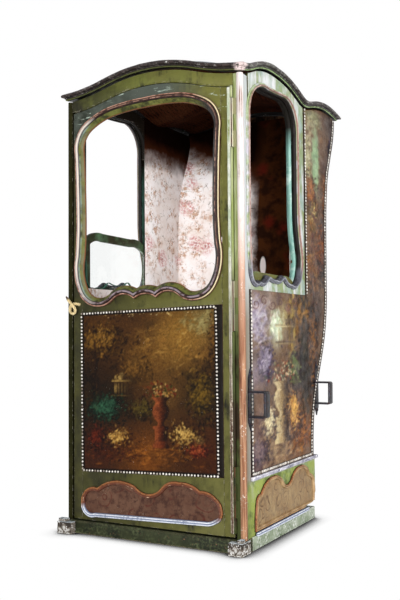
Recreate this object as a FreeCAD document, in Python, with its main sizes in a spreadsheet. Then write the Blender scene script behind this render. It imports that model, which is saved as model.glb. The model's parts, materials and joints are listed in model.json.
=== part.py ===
import FreeCAD, Part
import math
import os
from FreeCAD import Placement, Rotation, Vector

# Sedan chair: a hollow cabin of framed boards on a base of rails, one hinged door in
# front and a domed roof that lifts on hinges at the back.
# Millimetres. X runs across the chair, Y from front to back, Z up. The origin is the
# bottom centre. Depths ("depth") are measured back from the front face, so
# y = front_y + depth.

DIMENSIONS = [
    # name, value, meaning
    ("front_y", -432, "front face of the cabin"),
    ("half_width", 338, "outer face of a side wall"),
    ("wall", 36, "thickness of the framed walls"),
    ("board", 12, "thickness of the outer boards"),
    ("lining", 6, "thickness of the lining boards"),
    ("base_height", 42, "height of the base rails"),
    ("base_proud", 4, "how far the base rails stand out"),
    ("base_depth", 582, "back edge of the base rails"),
    ("rail_width", 48, "width of a base rail inside the wall's face"),
    ("sill_depth", 46, "back edge of the front sill"),
    ("floor_thickness", 16, "thickness of the floor board"),
    ("apron_top", 216, "top of the aprons"),
    ("panel_bottom", 220, "bottom of the painted side panels"),
    ("panel_top", 818, "top of the lower panels"),
    ("opening_top", 1380, "where the side top rails begin"),
    ("seam_height", 1500, "top of the walls at the front corners"),
    ("post_depth", 54, "depth of a front post"),
    ("stile_depth", 525, "back edge of the side windows' stile"),
    ("bead_radius", 11, "round bead on the front corners"),
    ("bead_inset", 6.5, "bead's centre, in from both faces"),
    ("door_left", -316, "left edge of the door"),
    ("door_right", 303, "right edge of the door"),
    ("door_bottom", 48, "bottom edge of the door"),
    ("door_thickness", 28, "thickness of the door's frame"),
    ("door_drop", 45, "door's top edge below the wall's top"),
    ("door_stile", 36, "width of the door's stiles"),
    ("door_panel_top", 762, "top of the door's painted panel"),
    ("door_panel_bottom", 219, "bottom of the door's painted panel"),
    ("gap", 6, "running gap round the moving pieces"),
    ("lid_gap", 6, "gap between the walls and the lid"),
    ("hinge_x", 307, "door hinge line"),
    ("hinge_depth", -6, "door hinge line, in front of the face"),
    ("knuckle", 5, "radius of a hinge knuckle"),
    ("pin", 2.5, "radius of a hinge pin"),
    ("pin_clearance", 0.05, "radial clearance round a pin"),
    ("lid_hinge_depth", 880, "lid hinge line"),
    ("lid_hinge_z", 1533, "lid hinge line"),
    ("seat_height", 418, "top of the seat board"),
    ("seat_front", 254, "front edge of the seat"),
    ("seat_thickness", 18, "thickness of the seat board"),
    ("bracket_reach", 60, "how far a pole bracket stands out"),
    ("strap", 6, "thickness of a bracket's iron"),
    ("strap_width", 35, "width of a bracket's iron"),
    ("loop_bottom", 414, "underside of a bracket's loop"),
    ("loop_top", 498, "upper side of a bracket's loop"),
]

doc = FreeCAD.newDocument("sedan_chair")
sheet = doc.addObject("Spreadsheet::Sheet", "Dimensions")
for row, (alias, value, meaning) in enumerate(DIMENSIONS, start=1):
    sheet.set(f"A{row}", alias)
    sheet.set(f"B{row}", str(value))
    sheet.set(f"C{row}", meaning)
    sheet.setAlias(f"B{row}", alias)
doc.recompute()
dim = {alias: float(getattr(sheet, alias)) for alias, value, meaning in DIMENSIONS}
FRONT_Y = dim["front_y"]

# Curves of the body: rows of (place, height or depth there, slope there).
# The wall tops follow the same two waves as the roof.
FRONT_WAVE = [
    # x, rise above the corners, slope
    (-380, -2.5, 0.06), (-338, 0, 0.06), (-175, 30, 0.30), (0, 56, 0),
    (175, 30, -0.30), (338, 0, -0.06), (380, -2.5, -0.06),
]
SIDE_WAVE = [
    # depth, rise above the front corner, slope
    (-45, -5.4, 0.12), (0, 0, 0.12), (85, 24, 0.43), (245, 57, 0), (275, 57, 0),
    (449, 32, -0.29), (490, 20, -0.29), (535, 13.5, 0), (577, 19, 0.26),
    (620, 30, 0.26), (760, 49, 0), (865, 41, -0.15), (905, 35, -0.15),
]
BACK_CURVE = [
    # height, depth of the back's outer face, slope
    (0, 582, 0.03), (290, 591, 0.03), (500, 648, 0.50), (600, 699, 0.50),
    (820, 756, 0.02), (1090, 762, 0.02), (1250, 777, 0.15), (1350, 808, 0.45),
    (1430, 844, 0.45), (1545, 872, 0.05), (1640, 873, 0),
]


def value_on(knots, place):
    """Height of a smooth curve through the knots at a place."""
    for (a, first, slope_a), (b, second, slope_b) in zip(knots, knots[1:]):
        if place <= b or b == knots[-1][0]:
            t = (place - a) / (b - a)
            span = b - a
            start = (2 * t**3 - 3 * t**2 + 1) * first + (t**3 - 2 * t**2 + t) * span * slope_a
            end = (3 * t**2 - 2 * t**3) * second + (t**3 - t**2) * span * slope_b
            return start + end


def front_rise(x):
    return value_on(FRONT_WAVE, x)


def side_rise(depth):
    return value_on(SIDE_WAVE, depth)


def back_depth(z):
    return value_on(BACK_CURVE, z)


def along(knots, start, stop, point):
    """Steps of an outline along a curve: one arc between each two knots."""
    inner = [k[0] for k in knots if min(start, stop) < k[0] < max(start, stop)]
    stations = [start] + sorted(inner, reverse=stop < start) + [stop]
    steps = []
    for a, b in zip(stations, stations[1:]):
        steps.append(point((a + b) / 2) + point(b))
    return steps


def outline_edges(start, steps):
    """Edges of a closed outline. A step is (x, y) for a line to a point, or
    (xm, ym, x, y) for an arc through a middle point."""
    edges = []
    here = Vector(*start, 0)
    for step in list(steps) + [start]:
        there = Vector(*step[-2:], 0)
        if (there - here).Length < 0.01:
            continue
        straight = True
        if len(step) == 4:
            middle = Vector(*step[:2], 0)
            sag = middle.distanceToLine(here, there - here)
            straight = sag < 0.05
        if straight:
            edges.append(Part.LineSegment(here, there))
        else:
            edges.append(Part.Arc(here, middle, there))
        here = there
    return edges


def offset_edges(edges, distance):
    """The outline drawn again at a distance, outside it or, if negative, inside it."""
    wire = Part.Wire(Part.__sortEdges__([edge.toShape() for edge in edges]))
    moved = wire.makeOffset2D(distance, 0)
    result = []
    for edge in moved.OrderedEdges:
        first, last = edge.ParameterRange
        ends = [edge.valueAt(first), edge.valueAt(last)]
        if isinstance(edge.Curve, Part.Line):
            result.append(Part.LineSegment(*ends))
        else:
            result.append(Part.Arc(ends[0], edge.valueAt((first + last) / 2), ends[1]))
    return result


def mirror_back(start, steps):
    """Half an outline, from the axis to the axis, and its mirror image back again."""
    points = [start] + [step[-2:] for step in steps]
    back = []
    for step, previous in zip(reversed(steps), reversed(points[:-1])):
        point = (-previous[0], previous[1])
        back.append((-step[0], step[1]) + point if len(step) == 4 else point)
    return list(steps) + back


# Plane of a sketch: role of the origin plane, and whether its normal points to minus.
PLANES = {"front": ("XZ_Plane", -1), "side": ("YZ_Plane", 1), "floor": ("XY_Plane", 1)}


def new_body(name):
    return doc.addObject("PartDesign::Body", name)


def add_sketch(body, name, plane, edges, level):
    """Sketch on one of the body's own planes, moved along the normal to a level."""
    role, sign = PLANES[plane]
    base = next(f for f in body.Origin.OriginFeatures if f.Role == role)
    sketch = body.newObject("Sketcher::SketchObject", name)
    sketch.AttachmentSupport = [(base, "")]
    sketch.MapMode = "FlatFace"
    sketch.setExpression("AttachmentOffset.Base.z", f"{sign} * ({level})")
    sketch.addGeometry(edges, False)
    return sketch


def pad(body, plane, edges, near, far):
    """Pad an outline between two levels on the plane's axis; near is less than far."""
    number = len(body.Group)
    start = far if plane == "front" else near
    sketch = add_sketch(body, f"{body.Name}_outline_{number}", plane, edges, start)
    feature = body.newObject("PartDesign::Pad", f"{body.Name}_pad_{number}")
    feature.Profile = sketch
    feature.setExpression("Length", f"({far}) - ({near})")
    sketch.Visibility = False
    body.Tip = feature
    return feature


def pocket(body, plane, edges, near, far):
    """Cut an outline out of the body between two levels."""
    number = len(body.Group)
    start = near if plane == "front" else far
    sketch = add_sketch(body, f"{body.Name}_outline_{number}", plane, edges, start)
    doc.recompute()
    before = body.Tip.Shape.Volume
    feature = body.newObject("PartDesign::Pocket", f"{body.Name}_cut_{number}")
    feature.Profile = sketch
    feature.setExpression("Length", f"({far}) - ({near})")
    doc.recompute()
    if feature.Shape.Volume >= before - 1:
        raise RuntimeError(f"{feature.Name} cuts nothing")
    body.Tip = feature
    return feature


def board(name, plane, edges, near, far):
    body = new_body(name)
    pad(body, plane, edges, near, far)
    return body


pieces = {}


def keep(name, *parts):
    """Name a node. Several like pieces that don't touch are kept as one compound."""
    if len(parts) == 1:
        node = parts[0]
    else:
        node = doc.addObject("Part::Compound", name + "_set")
        node.Links = list(parts)
    node.Label = name
    pieces[name] = node


def side_levels(side, inner, outer):
    """The two levels of a board in a side wall; side is -1 left, 1 right."""
    if side > 0:
        return inner, outer
    return f"-({outer})", f"-({inner})"


def y_at(depth):
    return FRONT_Y + depth


FIT = 0.3               # gap between boards that meet, so that each stays a piece
POST_REBATE = 45        # depth where the side boards meet the front posts
POST_GAP = POST_REBATE + FIT
FLOOR_BACK = 548        # back edge of the floor board
BACK_FACE = 872         # depth of the back wall at the roof
REAR_CREST = 865        # depth whose rise the back of the roof follows
APRON_BACK = 600        # back edge of the side aprons, and face of the back apron
BROKEN_TOP = 128        # height of the broken corner at the back on the right
BROKEN_CORNER = [
    # depth, height of the broken edge
    (440, 42), (461, 55), (574, 66), (588, 122), (600, 128),
]

D = "Dimensions."
HALF = D + "half_width"
WALL_IN = f"{HALF} - {D}wall"
BOARD_IN = f"{HALF} - {D}board"
SIDES = (("left", -1), ("right", 1))


def box_outline(low, high):
    return outline_edges(low, [(high[0], low[1]), high, (low[0], high[1])])


def seam_point(depth, lift=0):
    """A point of the side walls' top edge, in the side plane."""
    return (y_at(depth), dim["seam_height"] + side_rise(depth) + lift)


def header_point(x, lift=0):
    """A point of the front wall's top edge, in the front plane."""
    return (x, dim["seam_height"] + front_rise(x) + lift)


def back_point(z, inset=0):
    """A point of the back's curve in the side plane, moved forward by the inset."""
    return (y_at(back_depth(z) - inset), z)


# Face of the front sill, which steps back above a small lip: rows of depth, height.
SILL_FACE = [(-10, 0), (-10, 26), (-7, 31), (-7, 38), (-4, 42)]

# Steps of the carved corner blocks: side, inner and outer edge across, front and back
# edge, foot, top. The raised outer halves clear the door, and the right block wraps
# round the corner.
BLOCK_BACK = -10.3
BLOCK_STEPS = [
    (-1, 302, 362, -38, BLOCK_BACK, 0, 40),
    (-1, 326, 360, -33, BLOCK_BACK, 40, 50),
    (1, 296, 347, -38, BLOCK_BACK, 0, 40),
    (1, 326, 346, -33, BLOCK_BACK, 40, 50),
    (1, 342.3, 347, BLOCK_BACK, 25, 0, 40),
]


def build_base():
    outer = f"{HALF} + {D}base_proud"
    sill_back = y_at(dim["sill_depth"])
    rails = []
    for word, side in SIDES:
        low, high = side_levels(side, f"{HALF} - {D}rail_width", outer)
        edges = box_outline((sill_back, 0), (y_at(dim["base_depth"]), dim["base_height"]))
        rails.append(board(f"base_rail_{word}", "side", edges, low, high))
    keep("base_side_rails", *rails)

    inner = dim["half_width"] - dim["rail_width"]
    edges = box_outline((-inner, 0), (inner, dim["base_height"]))
    back = f"{D}front_y + {D}base_depth"
    keep("base_rear_rail", board("base_rear_rail", "front", edges, f"{back} - {D}rail_width", back))

    sill = [(y_at(depth), z) for depth, z in SILL_FACE]
    edges = outline_edges((sill_back, 0), sill + [(sill_back, dim["base_height"])])
    keep("front_sill", board("front_sill", "side", edges, f"-{HALF} - {D}base_proud",
                             f"{HALF} + {D}base_proud"))

    blocks = []
    for word, side in SIDES:
        block = new_body(f"corner_block_{word}")
        for which, inner_x, outer_x, front, back_edge, foot, top in BLOCK_STEPS:
            if which == side:
                edges = box_outline((y_at(front), foot), (y_at(back_edge), top))
                pad(block, "side", edges, *side_levels(side, str(inner_x), str(outer_x)))
        blocks.append(block)
    keep("front_corner_blocks", *blocks)

    inside = dim["half_width"] - dim["wall"] - FIT
    edges = box_outline((-inside, y_at(dim["wall"])), (inside, y_at(FLOOR_BACK)))
    keep("floor_board", board("floor_board", "floor", edges, f"{D}base_height",
                              f"{D}base_height + {D}floor_thickness"))


def post_section(side, front_inner):
    """L-shaped section with a round bead on the outer corner."""
    half = dim["half_width"]
    radius = dim["bead_radius"]
    inset = dim["bead_inset"]
    centre_x, centre_depth = half - inset, inset
    reach = math.sqrt(radius**2 - inset**2)
    rebate = dim["door_thickness"] + dim["gap"]
    corner = radius * math.sqrt(0.5)
    points = [
        (centre_x - reach, 0),
        (centre_x + corner, centre_depth - corner, half, centre_depth + reach),
        (half, POST_REBATE), (half - dim["board"], POST_REBATE),
        (half - dim["board"], dim["post_depth"]),
        (half - dim["wall"], dim["post_depth"]), (half - dim["wall"], rebate),
        (front_inner, rebate),
    ]
    steps = []
    for point in points:
        pairs = zip(point[::2], point[1::2])
        steps.append(tuple(v for x, depth in pairs for v in (side * x, y_at(depth))))
    return outline_edges((side * front_inner, y_at(0)), steps)


def build_posts():
    # Each front post ends a running gap away from the door's edge.
    inner_edges = (-dim["door_left"] + dim["gap"], dim["door_right"] + dim["gap"] + 2)
    posts = []
    for (word, side), inner_edge in zip(SIDES, inner_edges):
        posts.append(board(f"front_post_{word}", "floor", post_section(side, inner_edge),
                           f"{D}base_height", f"{D}seam_height"))
    keep("front_posts", *posts)

    # The back posts follow the back's curve; the right one has lost its foot.
    head = 1532
    for (word, side), foot in zip(SIDES, (dim["base_height"], BROKEN_TOP)):
        steps = along(BACK_CURVE, foot, head, back_point)
        steps += [back_point(head, dim["wall"])]
        steps += along(BACK_CURVE, head, foot, lambda z: back_point(z, dim["wall"]))
        edges = outline_edges(back_point(foot), steps)
        low, high = side_levels(side, WALL_IN, BOARD_IN)
        keep(f"rear_post_{word}", board(f"rear_post_{word}", "side", edges, low, high))


MOULDING_LAP = 12       # how far the window mouldings cover the boards
SILL_RAIL_TOP = 905     # top of the boards below the windows
SIDE_RING = 18          # width of a side window's moulding
STILE_FRONT = 440       # front edge of the stile behind a side window
SASH_STOP = 484         # depth where the stile thickens behind the sash
HEADER_FOOT = 1462      # underside of the rear header and top of the back's boards


def side_window():
    """Outer outline of a side window's moulding, in the side plane (depth, z)."""
    outline = [
        (34, 1180, 36, 1385), (60, 1452, 112, 1492), (150, 1507, 205, 1510),
        (272, 1514, 340, 1520), (392, 1513, 436, 1484), (462, 1438, 466, 1385),
        (466, 1114), (474, 1040, 488, 985), (494, 918, 470, 862), (430, 836, 384, 838),
        (345, 844, 318, 861), (288, 847, 252, 846), (222, 847, 195, 854),
        (164, 834, 122, 833), (60, 840, 42, 884)]
    steps = [tuple(v if i % 2 else y_at(v) for i, v in enumerate(step)) for step in outline]
    return outline_edges((y_at(35), 960), steps)


def side_opening():
    return offset_edges(side_window(), -MOULDING_LAP)


def build_rails():
    tops, stiles, sills = [], [], []
    for word, side in SIDES:
        low, high = side_levels(side, WALL_IN, HALF)
        front = dim["post_depth"] + FIT
        steps = [(y_at(dim["stile_depth"]), dim["opening_top"]), seam_point(dim["stile_depth"])]
        steps += along(SIDE_WAVE, dim["stile_depth"], front, seam_point)
        rail = board(f"side_top_rail_{word}", "side",
                     outline_edges((y_at(front), dim["opening_top"]), steps), low, high)
        pocket(rail, "side", side_opening(), low, high)
        tops.append(rail)

        # The stile is thin where the sash slides and thick behind it.
        stile = new_body(f"side_mid_stile_{word}")
        face, thin = dim["half_width"], dim["half_width"] - dim["board"]
        thick = face - dim["wall"] + dim["lining"]
        section = [(face, STILE_FRONT), (face, dim["stile_depth"]), (thick, dim["stile_depth"]),
                   (thick, SASH_STOP), (thin, SASH_STOP), (thin, STILE_FRONT)]
        points = [(side * x, y_at(depth)) for x, depth in section]
        pad(stile, "floor", outline_edges(points[0], points[1:]), f"{D}panel_top", f"{D}opening_top")
        pocket(stile, "side", side_opening(), *side_levels(side, WALL_IN, HALF))
        stiles.append(stile)

        low, high = side_levels(side, BOARD_IN, HALF)
        edges = box_outline((y_at(POST_GAP), dim["panel_top"]),
                            (y_at(STILE_FRONT - FIT), SILL_RAIL_TOP))
        sill = board(f"side_sill_rail_{word}", "side", edges, low, high)
        pocket(sill, "side", side_opening(), low, high)
        sills.append(sill)
    keep("side_top_rails", *tops)
    keep("side_mid_stiles", *stiles)
    keep("side_sill_rails", *sills)

    # Front header: a thin arched rail above the door, between the posts.
    left = dim["door_left"] - dim["gap"] + FIT
    right = dim["door_right"] + dim["gap"] + 2 - FIT
    under = -dim["door_drop"] + dim["gap"]
    steps = along(FRONT_WAVE, left, right, header_point)
    steps += [header_point(right, under)]
    steps += along(FRONT_WAVE, right, left, lambda x: header_point(x, under))
    keep("front_header", board("front_header", "front", outline_edges(header_point(left), steps),
                               f"{D}front_y", f"{D}front_y + {D}door_thickness + {D}gap"))

    # Rear header, as curved above as the front one and higher by the side wave.
    half = dim["half_width"] - dim["wall"] - FIT
    rise = side_rise(REAR_CREST)
    steps = along(FRONT_WAVE, -half, half, lambda x: header_point(x, rise))
    steps += [(half, HEADER_FOOT), (-half, HEADER_FOOT)]
    header = board("rear_header", "front", outline_edges(header_point(-half, rise), steps),
                   f"{D}front_y + {BACK_FACE} - {D}wall", f"{D}front_y + {BACK_FACE}")
    keep("rear_header", header)


def build_panels():
    half_in = dim["half_width"] - dim["wall"] - FIT
    front, bottom, foot = y_at(POST_GAP), dim["panel_bottom"], dim["base_height"]
    behind = dim["stile_depth"] + FIT
    top = 1541
    for word, side in SIDES:
        # One L-shaped panel: the lower wall and the whole quarter behind the window.
        steps = [(front, dim["panel_top"]), (y_at(behind), dim["panel_top"]), seam_point(behind)]
        steps += along(SIDE_WAVE, behind, BACK_FACE - 1, seam_point)
        steps += along(BACK_CURVE, top, bottom, back_point)
        low, high = side_levels(side, BOARD_IN, HALF)
        edges = outline_edges((front, bottom), steps)
        keep(f"side_panel_{word}", board(f"side_panel_{word}", "side", edges, low, high))

        # Apron below it. The right one is broken away at its back lower corner.
        steps = [(y_at(APRON_BACK), foot)]
        if side > 0:
            steps = [(y_at(depth), z) for depth, z in BROKEN_CORNER]
        steps += [(y_at(APRON_BACK), dim["apron_top"]), (front, dim["apron_top"])]
        edges = outline_edges((front, foot), steps)
        keep(f"side_apron_{word}", board(f"side_apron_{word}", "side", edges, low, high))

    def band(low, high, outer, inner):
        steps = along(BACK_CURVE, low, high, lambda z: back_point(z, outer))
        steps += [back_point(high, inner)]
        steps += along(BACK_CURVE, high, low, lambda z: back_point(z, inner))
        return outline_edges(back_point(low, outer), steps)

    under_header = HEADER_FOOT - FIT
    edges = band(bottom, under_header, 0, dim["board"])
    keep("back_panel", board("back_panel", "side", edges, f"-{half_in}", f"{half_in}"))
    edges = band(LINING_FOOT, under_header, LINING_INSET, LINING_INSET + dim["lining"])
    keep("back_lining", board("back_lining", "side", edges, f"-{half_in}", f"{half_in}"))

    # The back apron stands outside the panel, and is broken at the same corner.
    wide = dim["half_width"] - dim["board"] - FIT
    steps = [(wide - 90, foot), (wide - 60, 58), (wide - 12, 70), (wide, BROKEN_TOP - 2),
             (wide, dim["apron_top"]), (-wide, dim["apron_top"])]
    keep("back_apron", board("back_apron", "front", outline_edges((-wide, foot), steps),
                             f"{D}front_y + {APRON_BACK} - {D}board + 1", f"{D}front_y + {APRON_BACK}"))

    # A thin ledge runs round three sides between panels and aprons.
    side_in, back_in = dim["half_width"], 592
    side_out, back_out = side_in + LEDGE_REACH, APRON_BACK + LEDGE_REACH + 3
    ring = [(-side_out, back_out), (side_out, back_out), (side_out, POST_GAP), (side_in, POST_GAP),
            (side_in, back_in), (-side_in, back_in), (-side_in, POST_GAP)]
    points = [(x, y_at(depth)) for x, depth in ring]
    edges = outline_edges((-side_out, y_at(POST_GAP)), points)
    keep("apron_ledge", board("apron_ledge", "floor", edges, f"{D}apron_top + {FIT}",
                              f"{D}apron_top + 12"))


LINING_FOOT = 58.3      # the linings stand on the floor board
LINING_INSET = 28       # from the back's outer face to its lining
LEDGE_REACH = 9         # how far the ledge stands out from the walls


def build_inside():
    linings = []
    wall = dim["wall"]
    # Each side lining leaves the window free and runs up behind it to the roof.
    front, window_back, post_back = dim["post_depth"] + 0.5, SASH_STOP - 6, dim["stile_depth"] + 0.5
    window_foot, rail_foot = 846, dim["opening_top"] - 0.5
    crown, drop = 828, -8
    top = dim["seam_height"] + side_rise(crown) + drop
    for word, side in SIDES:
        steps = [(y_at(front), window_foot), (y_at(window_back), window_foot),
                 (y_at(window_back), rail_foot), (y_at(post_back), rail_foot),
                 seam_point(post_back, drop)]
        steps += along(SIDE_WAVE, post_back, crown, lambda d: seam_point(d, drop))
        steps += [back_point(top, wall + 0.5)]
        steps += along(BACK_CURVE, top, LINING_FOOT, lambda z: back_point(z, wall + 0.5))
        low, high = side_levels(side, WALL_IN, f"{WALL_IN} + {D}lining")
        edges = outline_edges((y_at(front), LINING_FOOT), steps)
        linings.append(board(f"side_lining_{word}", "side", edges, low, high))
    keep("side_linings", *linings)

    half_in = dim["half_width"] - wall - 2 * FIT
    seat, seat_front = dim["seat_height"], dim["seat_front"]
    under = seat - dim["seat_thickness"]
    behind = LINING_INSET + dim["lining"] + 0.5
    nosing = y_at(seat_front - 4)
    steps = [back_point(under, behind), back_point(seat, behind), (nosing, seat)]
    keep("seat_board", board("seat_board", "side", outline_edges((nosing, under), steps),
                             f"-{half_in}", f"{half_in}"))
    edges = box_outline((-half_in, dim["base_height"] + dim["floor_thickness"]), (half_in, under))
    keep("seat_riser", board("seat_riser", "front", edges, f"{D}front_y + {D}seat_front + 6",
                             f"{D}front_y + {D}seat_front + 22"))

    # Seat cushion: flat below, crowned from its front edge to its back edge.
    cushion = new_body("seat_cushion")
    rest, back_gap, margin = seat + FIT, 42, 8
    edges = outline_edges((y_at(seat_front), rest), [
        back_point(rest, back_gap), back_point(seat + 58, back_gap),
        (y_at(420), seat + 84, y_at(seat_front + 4), seat + 62)])
    pad(cushion, "side", edges, f"-{half_in} + {margin}", f"{half_in} - {margin}")
    keep("seat_cushion", cushion)


def sash_outline(rise):
    """Sliding window frame with an arched top, standing in the wall's pocket."""
    foot = 260 + rise
    top = 860 + rise
    return outline_edges((y_at(57), foot), [
        (y_at(57), top - 24), (y_at(105), top + 2, y_at(165), top + 6),
        (y_at(260), top + 5, y_at(350), top + 4), (y_at(430), top - 4, y_at(476), top - 34),
        (y_at(476), foot)])


SASH_FRAME = 30         # width of a sash's frame


def build_sashes():
    frames, panes = [], []
    # The left sash is half raised, the right one nearly all the way down.
    for (word, side), rise in zip(SIDES, (184, 14)):
        edges = sash_outline(rise)
        level_in = f"{WALL_IN} + {D}lining + 1.5"
        low, high = side_levels(side, level_in, f"{level_in} + 14")
        frame = board(f"sash_{word}", "side", edges, low, high)
        pocket(frame, "side", offset_edges(edges, -SASH_FRAME), low, high)
        frames.append(frame)
        low, high = side_levels(side, f"{level_in} + 5", f"{level_in} + 8")
        pane_edges = offset_edges(edges, -SASH_FRAME - 0.2)
        panes.append(board(f"pane_{word}", "side", pane_edges, low, high))
    keep("side_sashes", *frames)
    keep("sash_glass", *panes)


def build_side_mouldings():
    rings, scrolls = [], []
    outer = side_window()
    inner = offset_edges(outer, -SIDE_RING)
    for word, side in SIDES:
        ring = new_body(f"side_window_moulding_{word}")
        low, high = side_levels(side, f"{HALF} + 0.2", f"{HALF} + 12")
        pad(ring, "side", outer + inner, low, high)
        low, high = side_levels(side, BOARD_IN, f"{HALF} + 0.4")
        pad(ring, "side", offset_edges(outer, -MOULDING_LAP - 0.5) + inner, low, high)
        rings.append(ring)
    keep("side_window_mouldings", *rings)

    # Carved frame on the apron: two lobes with a dip between them.
    outline = [
        (70, 112, 78, 150), (90, 164, 110, 167), (156, 199, 215, 208), (254, 203, 284, 186),
        (326, 162, 372, 184), (408, 204, 450, 208), (500, 201, 532, 172), (556, 164, 576, 150),
        (584, 112, 580, 54)]
    steps = [tuple(v if i % 2 else y_at(v) for i, v in enumerate(step)) for step in outline]
    outer = outline_edges((y_at(68), 54), steps)
    for word, side in SIDES:
        low, high = side_levels(side, f"{HALF} + 0.2", f"{HALF} + 8")
        frame = board(f"side_cartouche_{word}", "side", outer + offset_edges(outer, -13), low, high)
        if side > 0:
            # The carving is broken along the apron's own broken edge.
            broken = BROKEN_CORNER[1:-1] + [(640, 150), (640, 30)]
            points = [(y_at(depth), z) for depth, z in broken]
            pocket(frame, "side", outline_edges((y_at(STILE_FRONT), 30), points), low, high)
        scrolls.append(frame)
    keep("side_cartouches", *scrolls)


# Depth of a bracket's front edge, and the sides that still have it. The left front one
# is lost.
BRACKET_PLACES = (("bracket_front", 28, SIDES[1:]), ("brackets_rear", 604, SIDES))


def build_brackets():
    """Iron loops for the carrying poles, each on a pointed plate."""
    reach, iron, width = dim["bracket_reach"], dim["strap"], dim["strap_width"]
    half = dim["half_width"]
    loop_low, loop_high = dim["loop_bottom"], dim["loop_top"]
    for word, depth, sides in BRACKET_PLACES:
        pair = []
        for side_word, side in sides:
            bracket = new_body(f"{word}_{side_word}")
            middle, foot, head = y_at(depth + width / 2), loop_low - 42, loop_high + 74
            front, back = y_at(depth), y_at(depth + width)
            plate = [(middle, foot), (front, foot + 30), (front, head - 32),
                     (middle, head), (back, head - 32), (back, foot + 30)]
            low, high = side_levels(side, HALF, f"{HALF} + 4")
            pad(bracket, "side", outline_edges(plate[0], plate[1:]), low, high)
            near, far = half + 3, half + reach
            bend = 8
            arc = bend * (1 - math.sqrt(0.5))
            outer = [(far - bend, loop_low), (far - arc, loop_low + arc, far, loop_low + bend),
                     (far, loop_high - bend), (far - arc, loop_high - arc, far - bend, loop_high),
                     (near, loop_high)]
            inner = [(near, loop_high - iron), (far - iron, loop_high - iron),
                     (far - iron, loop_low + iron), (near, loop_low + iron)]
            steps = [tuple(v * (side if i % 2 == 0 else 1) for i, v in enumerate(s))
                     for s in outer + inner]
            edges = outline_edges((side * near, loop_low), steps)
            pad(bracket, "front", edges, f"{D}front_y + {depth}", f"{D}front_y + {depth} + {D}strap_width")
            pair.append(bracket)
        keep(f"pole_{word}", *pair)


DOOR_SAG = 0.03         # the old door's panels and carving hang lower on the left
DOOR_CENTRE = -20
DOOR_LAP = 16           # how far its window moulding covers the frame
DOOR_RING = 32          # width of that moulding
DOOR_SCROLL = [
    # Carved frame on the door's apron, before it sags: steps of x, z, or of an arc's
    # middle x, z and end x, z.
    (-283, 126), (-268, 154, -216, 166), (-176, 187, -132, 194), (-96, 190, -62, 178),
    (-12, 156, 36, 176), (62, 196, 104, 200), (148, 194.5, 182, 176), (214, 172, 240, 156),
    (256, 139, 262, 118), (260, 94, 240, 76), (222, 68, 200, 66), (-225, 66),
    (-262, 70, -283, 100),
]


def sag(x, z):
    return (x, z + DOOR_SAG * (x - DOOR_CENTRE))


def sagged(steps):
    result = []
    for step in steps:
        pairs = [sag(x, z) for x, z in zip(step[::2], step[1::2])]
        result.append(tuple(v for pair in pairs for v in pair))
    return result


def door_window():
    """Outer outline of the door window's moulding: arched above, scalloped below."""
    half = [
        # across from the centre line, z
        (66, 1472, 131, 1466), (188, 1452, 240, 1427), (280, 1381, 288, 1320),
        (283, 1200, 281, 1090), (282, 1020, 286, 960), (289, 890, 264, 820),
        (235, 792, 196, 780), (158, 783, 128, 800), (88, 815, 43, 797), (22, 808, 0, 811)]
    steps = [tuple(v if i % 2 else v + DOOR_CENTRE for i, v in enumerate(step))
             for step in mirror_back((0, 1473), half)]
    return outline_edges(sag(DOOR_CENTRE, 1473), sagged(steps))


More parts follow.
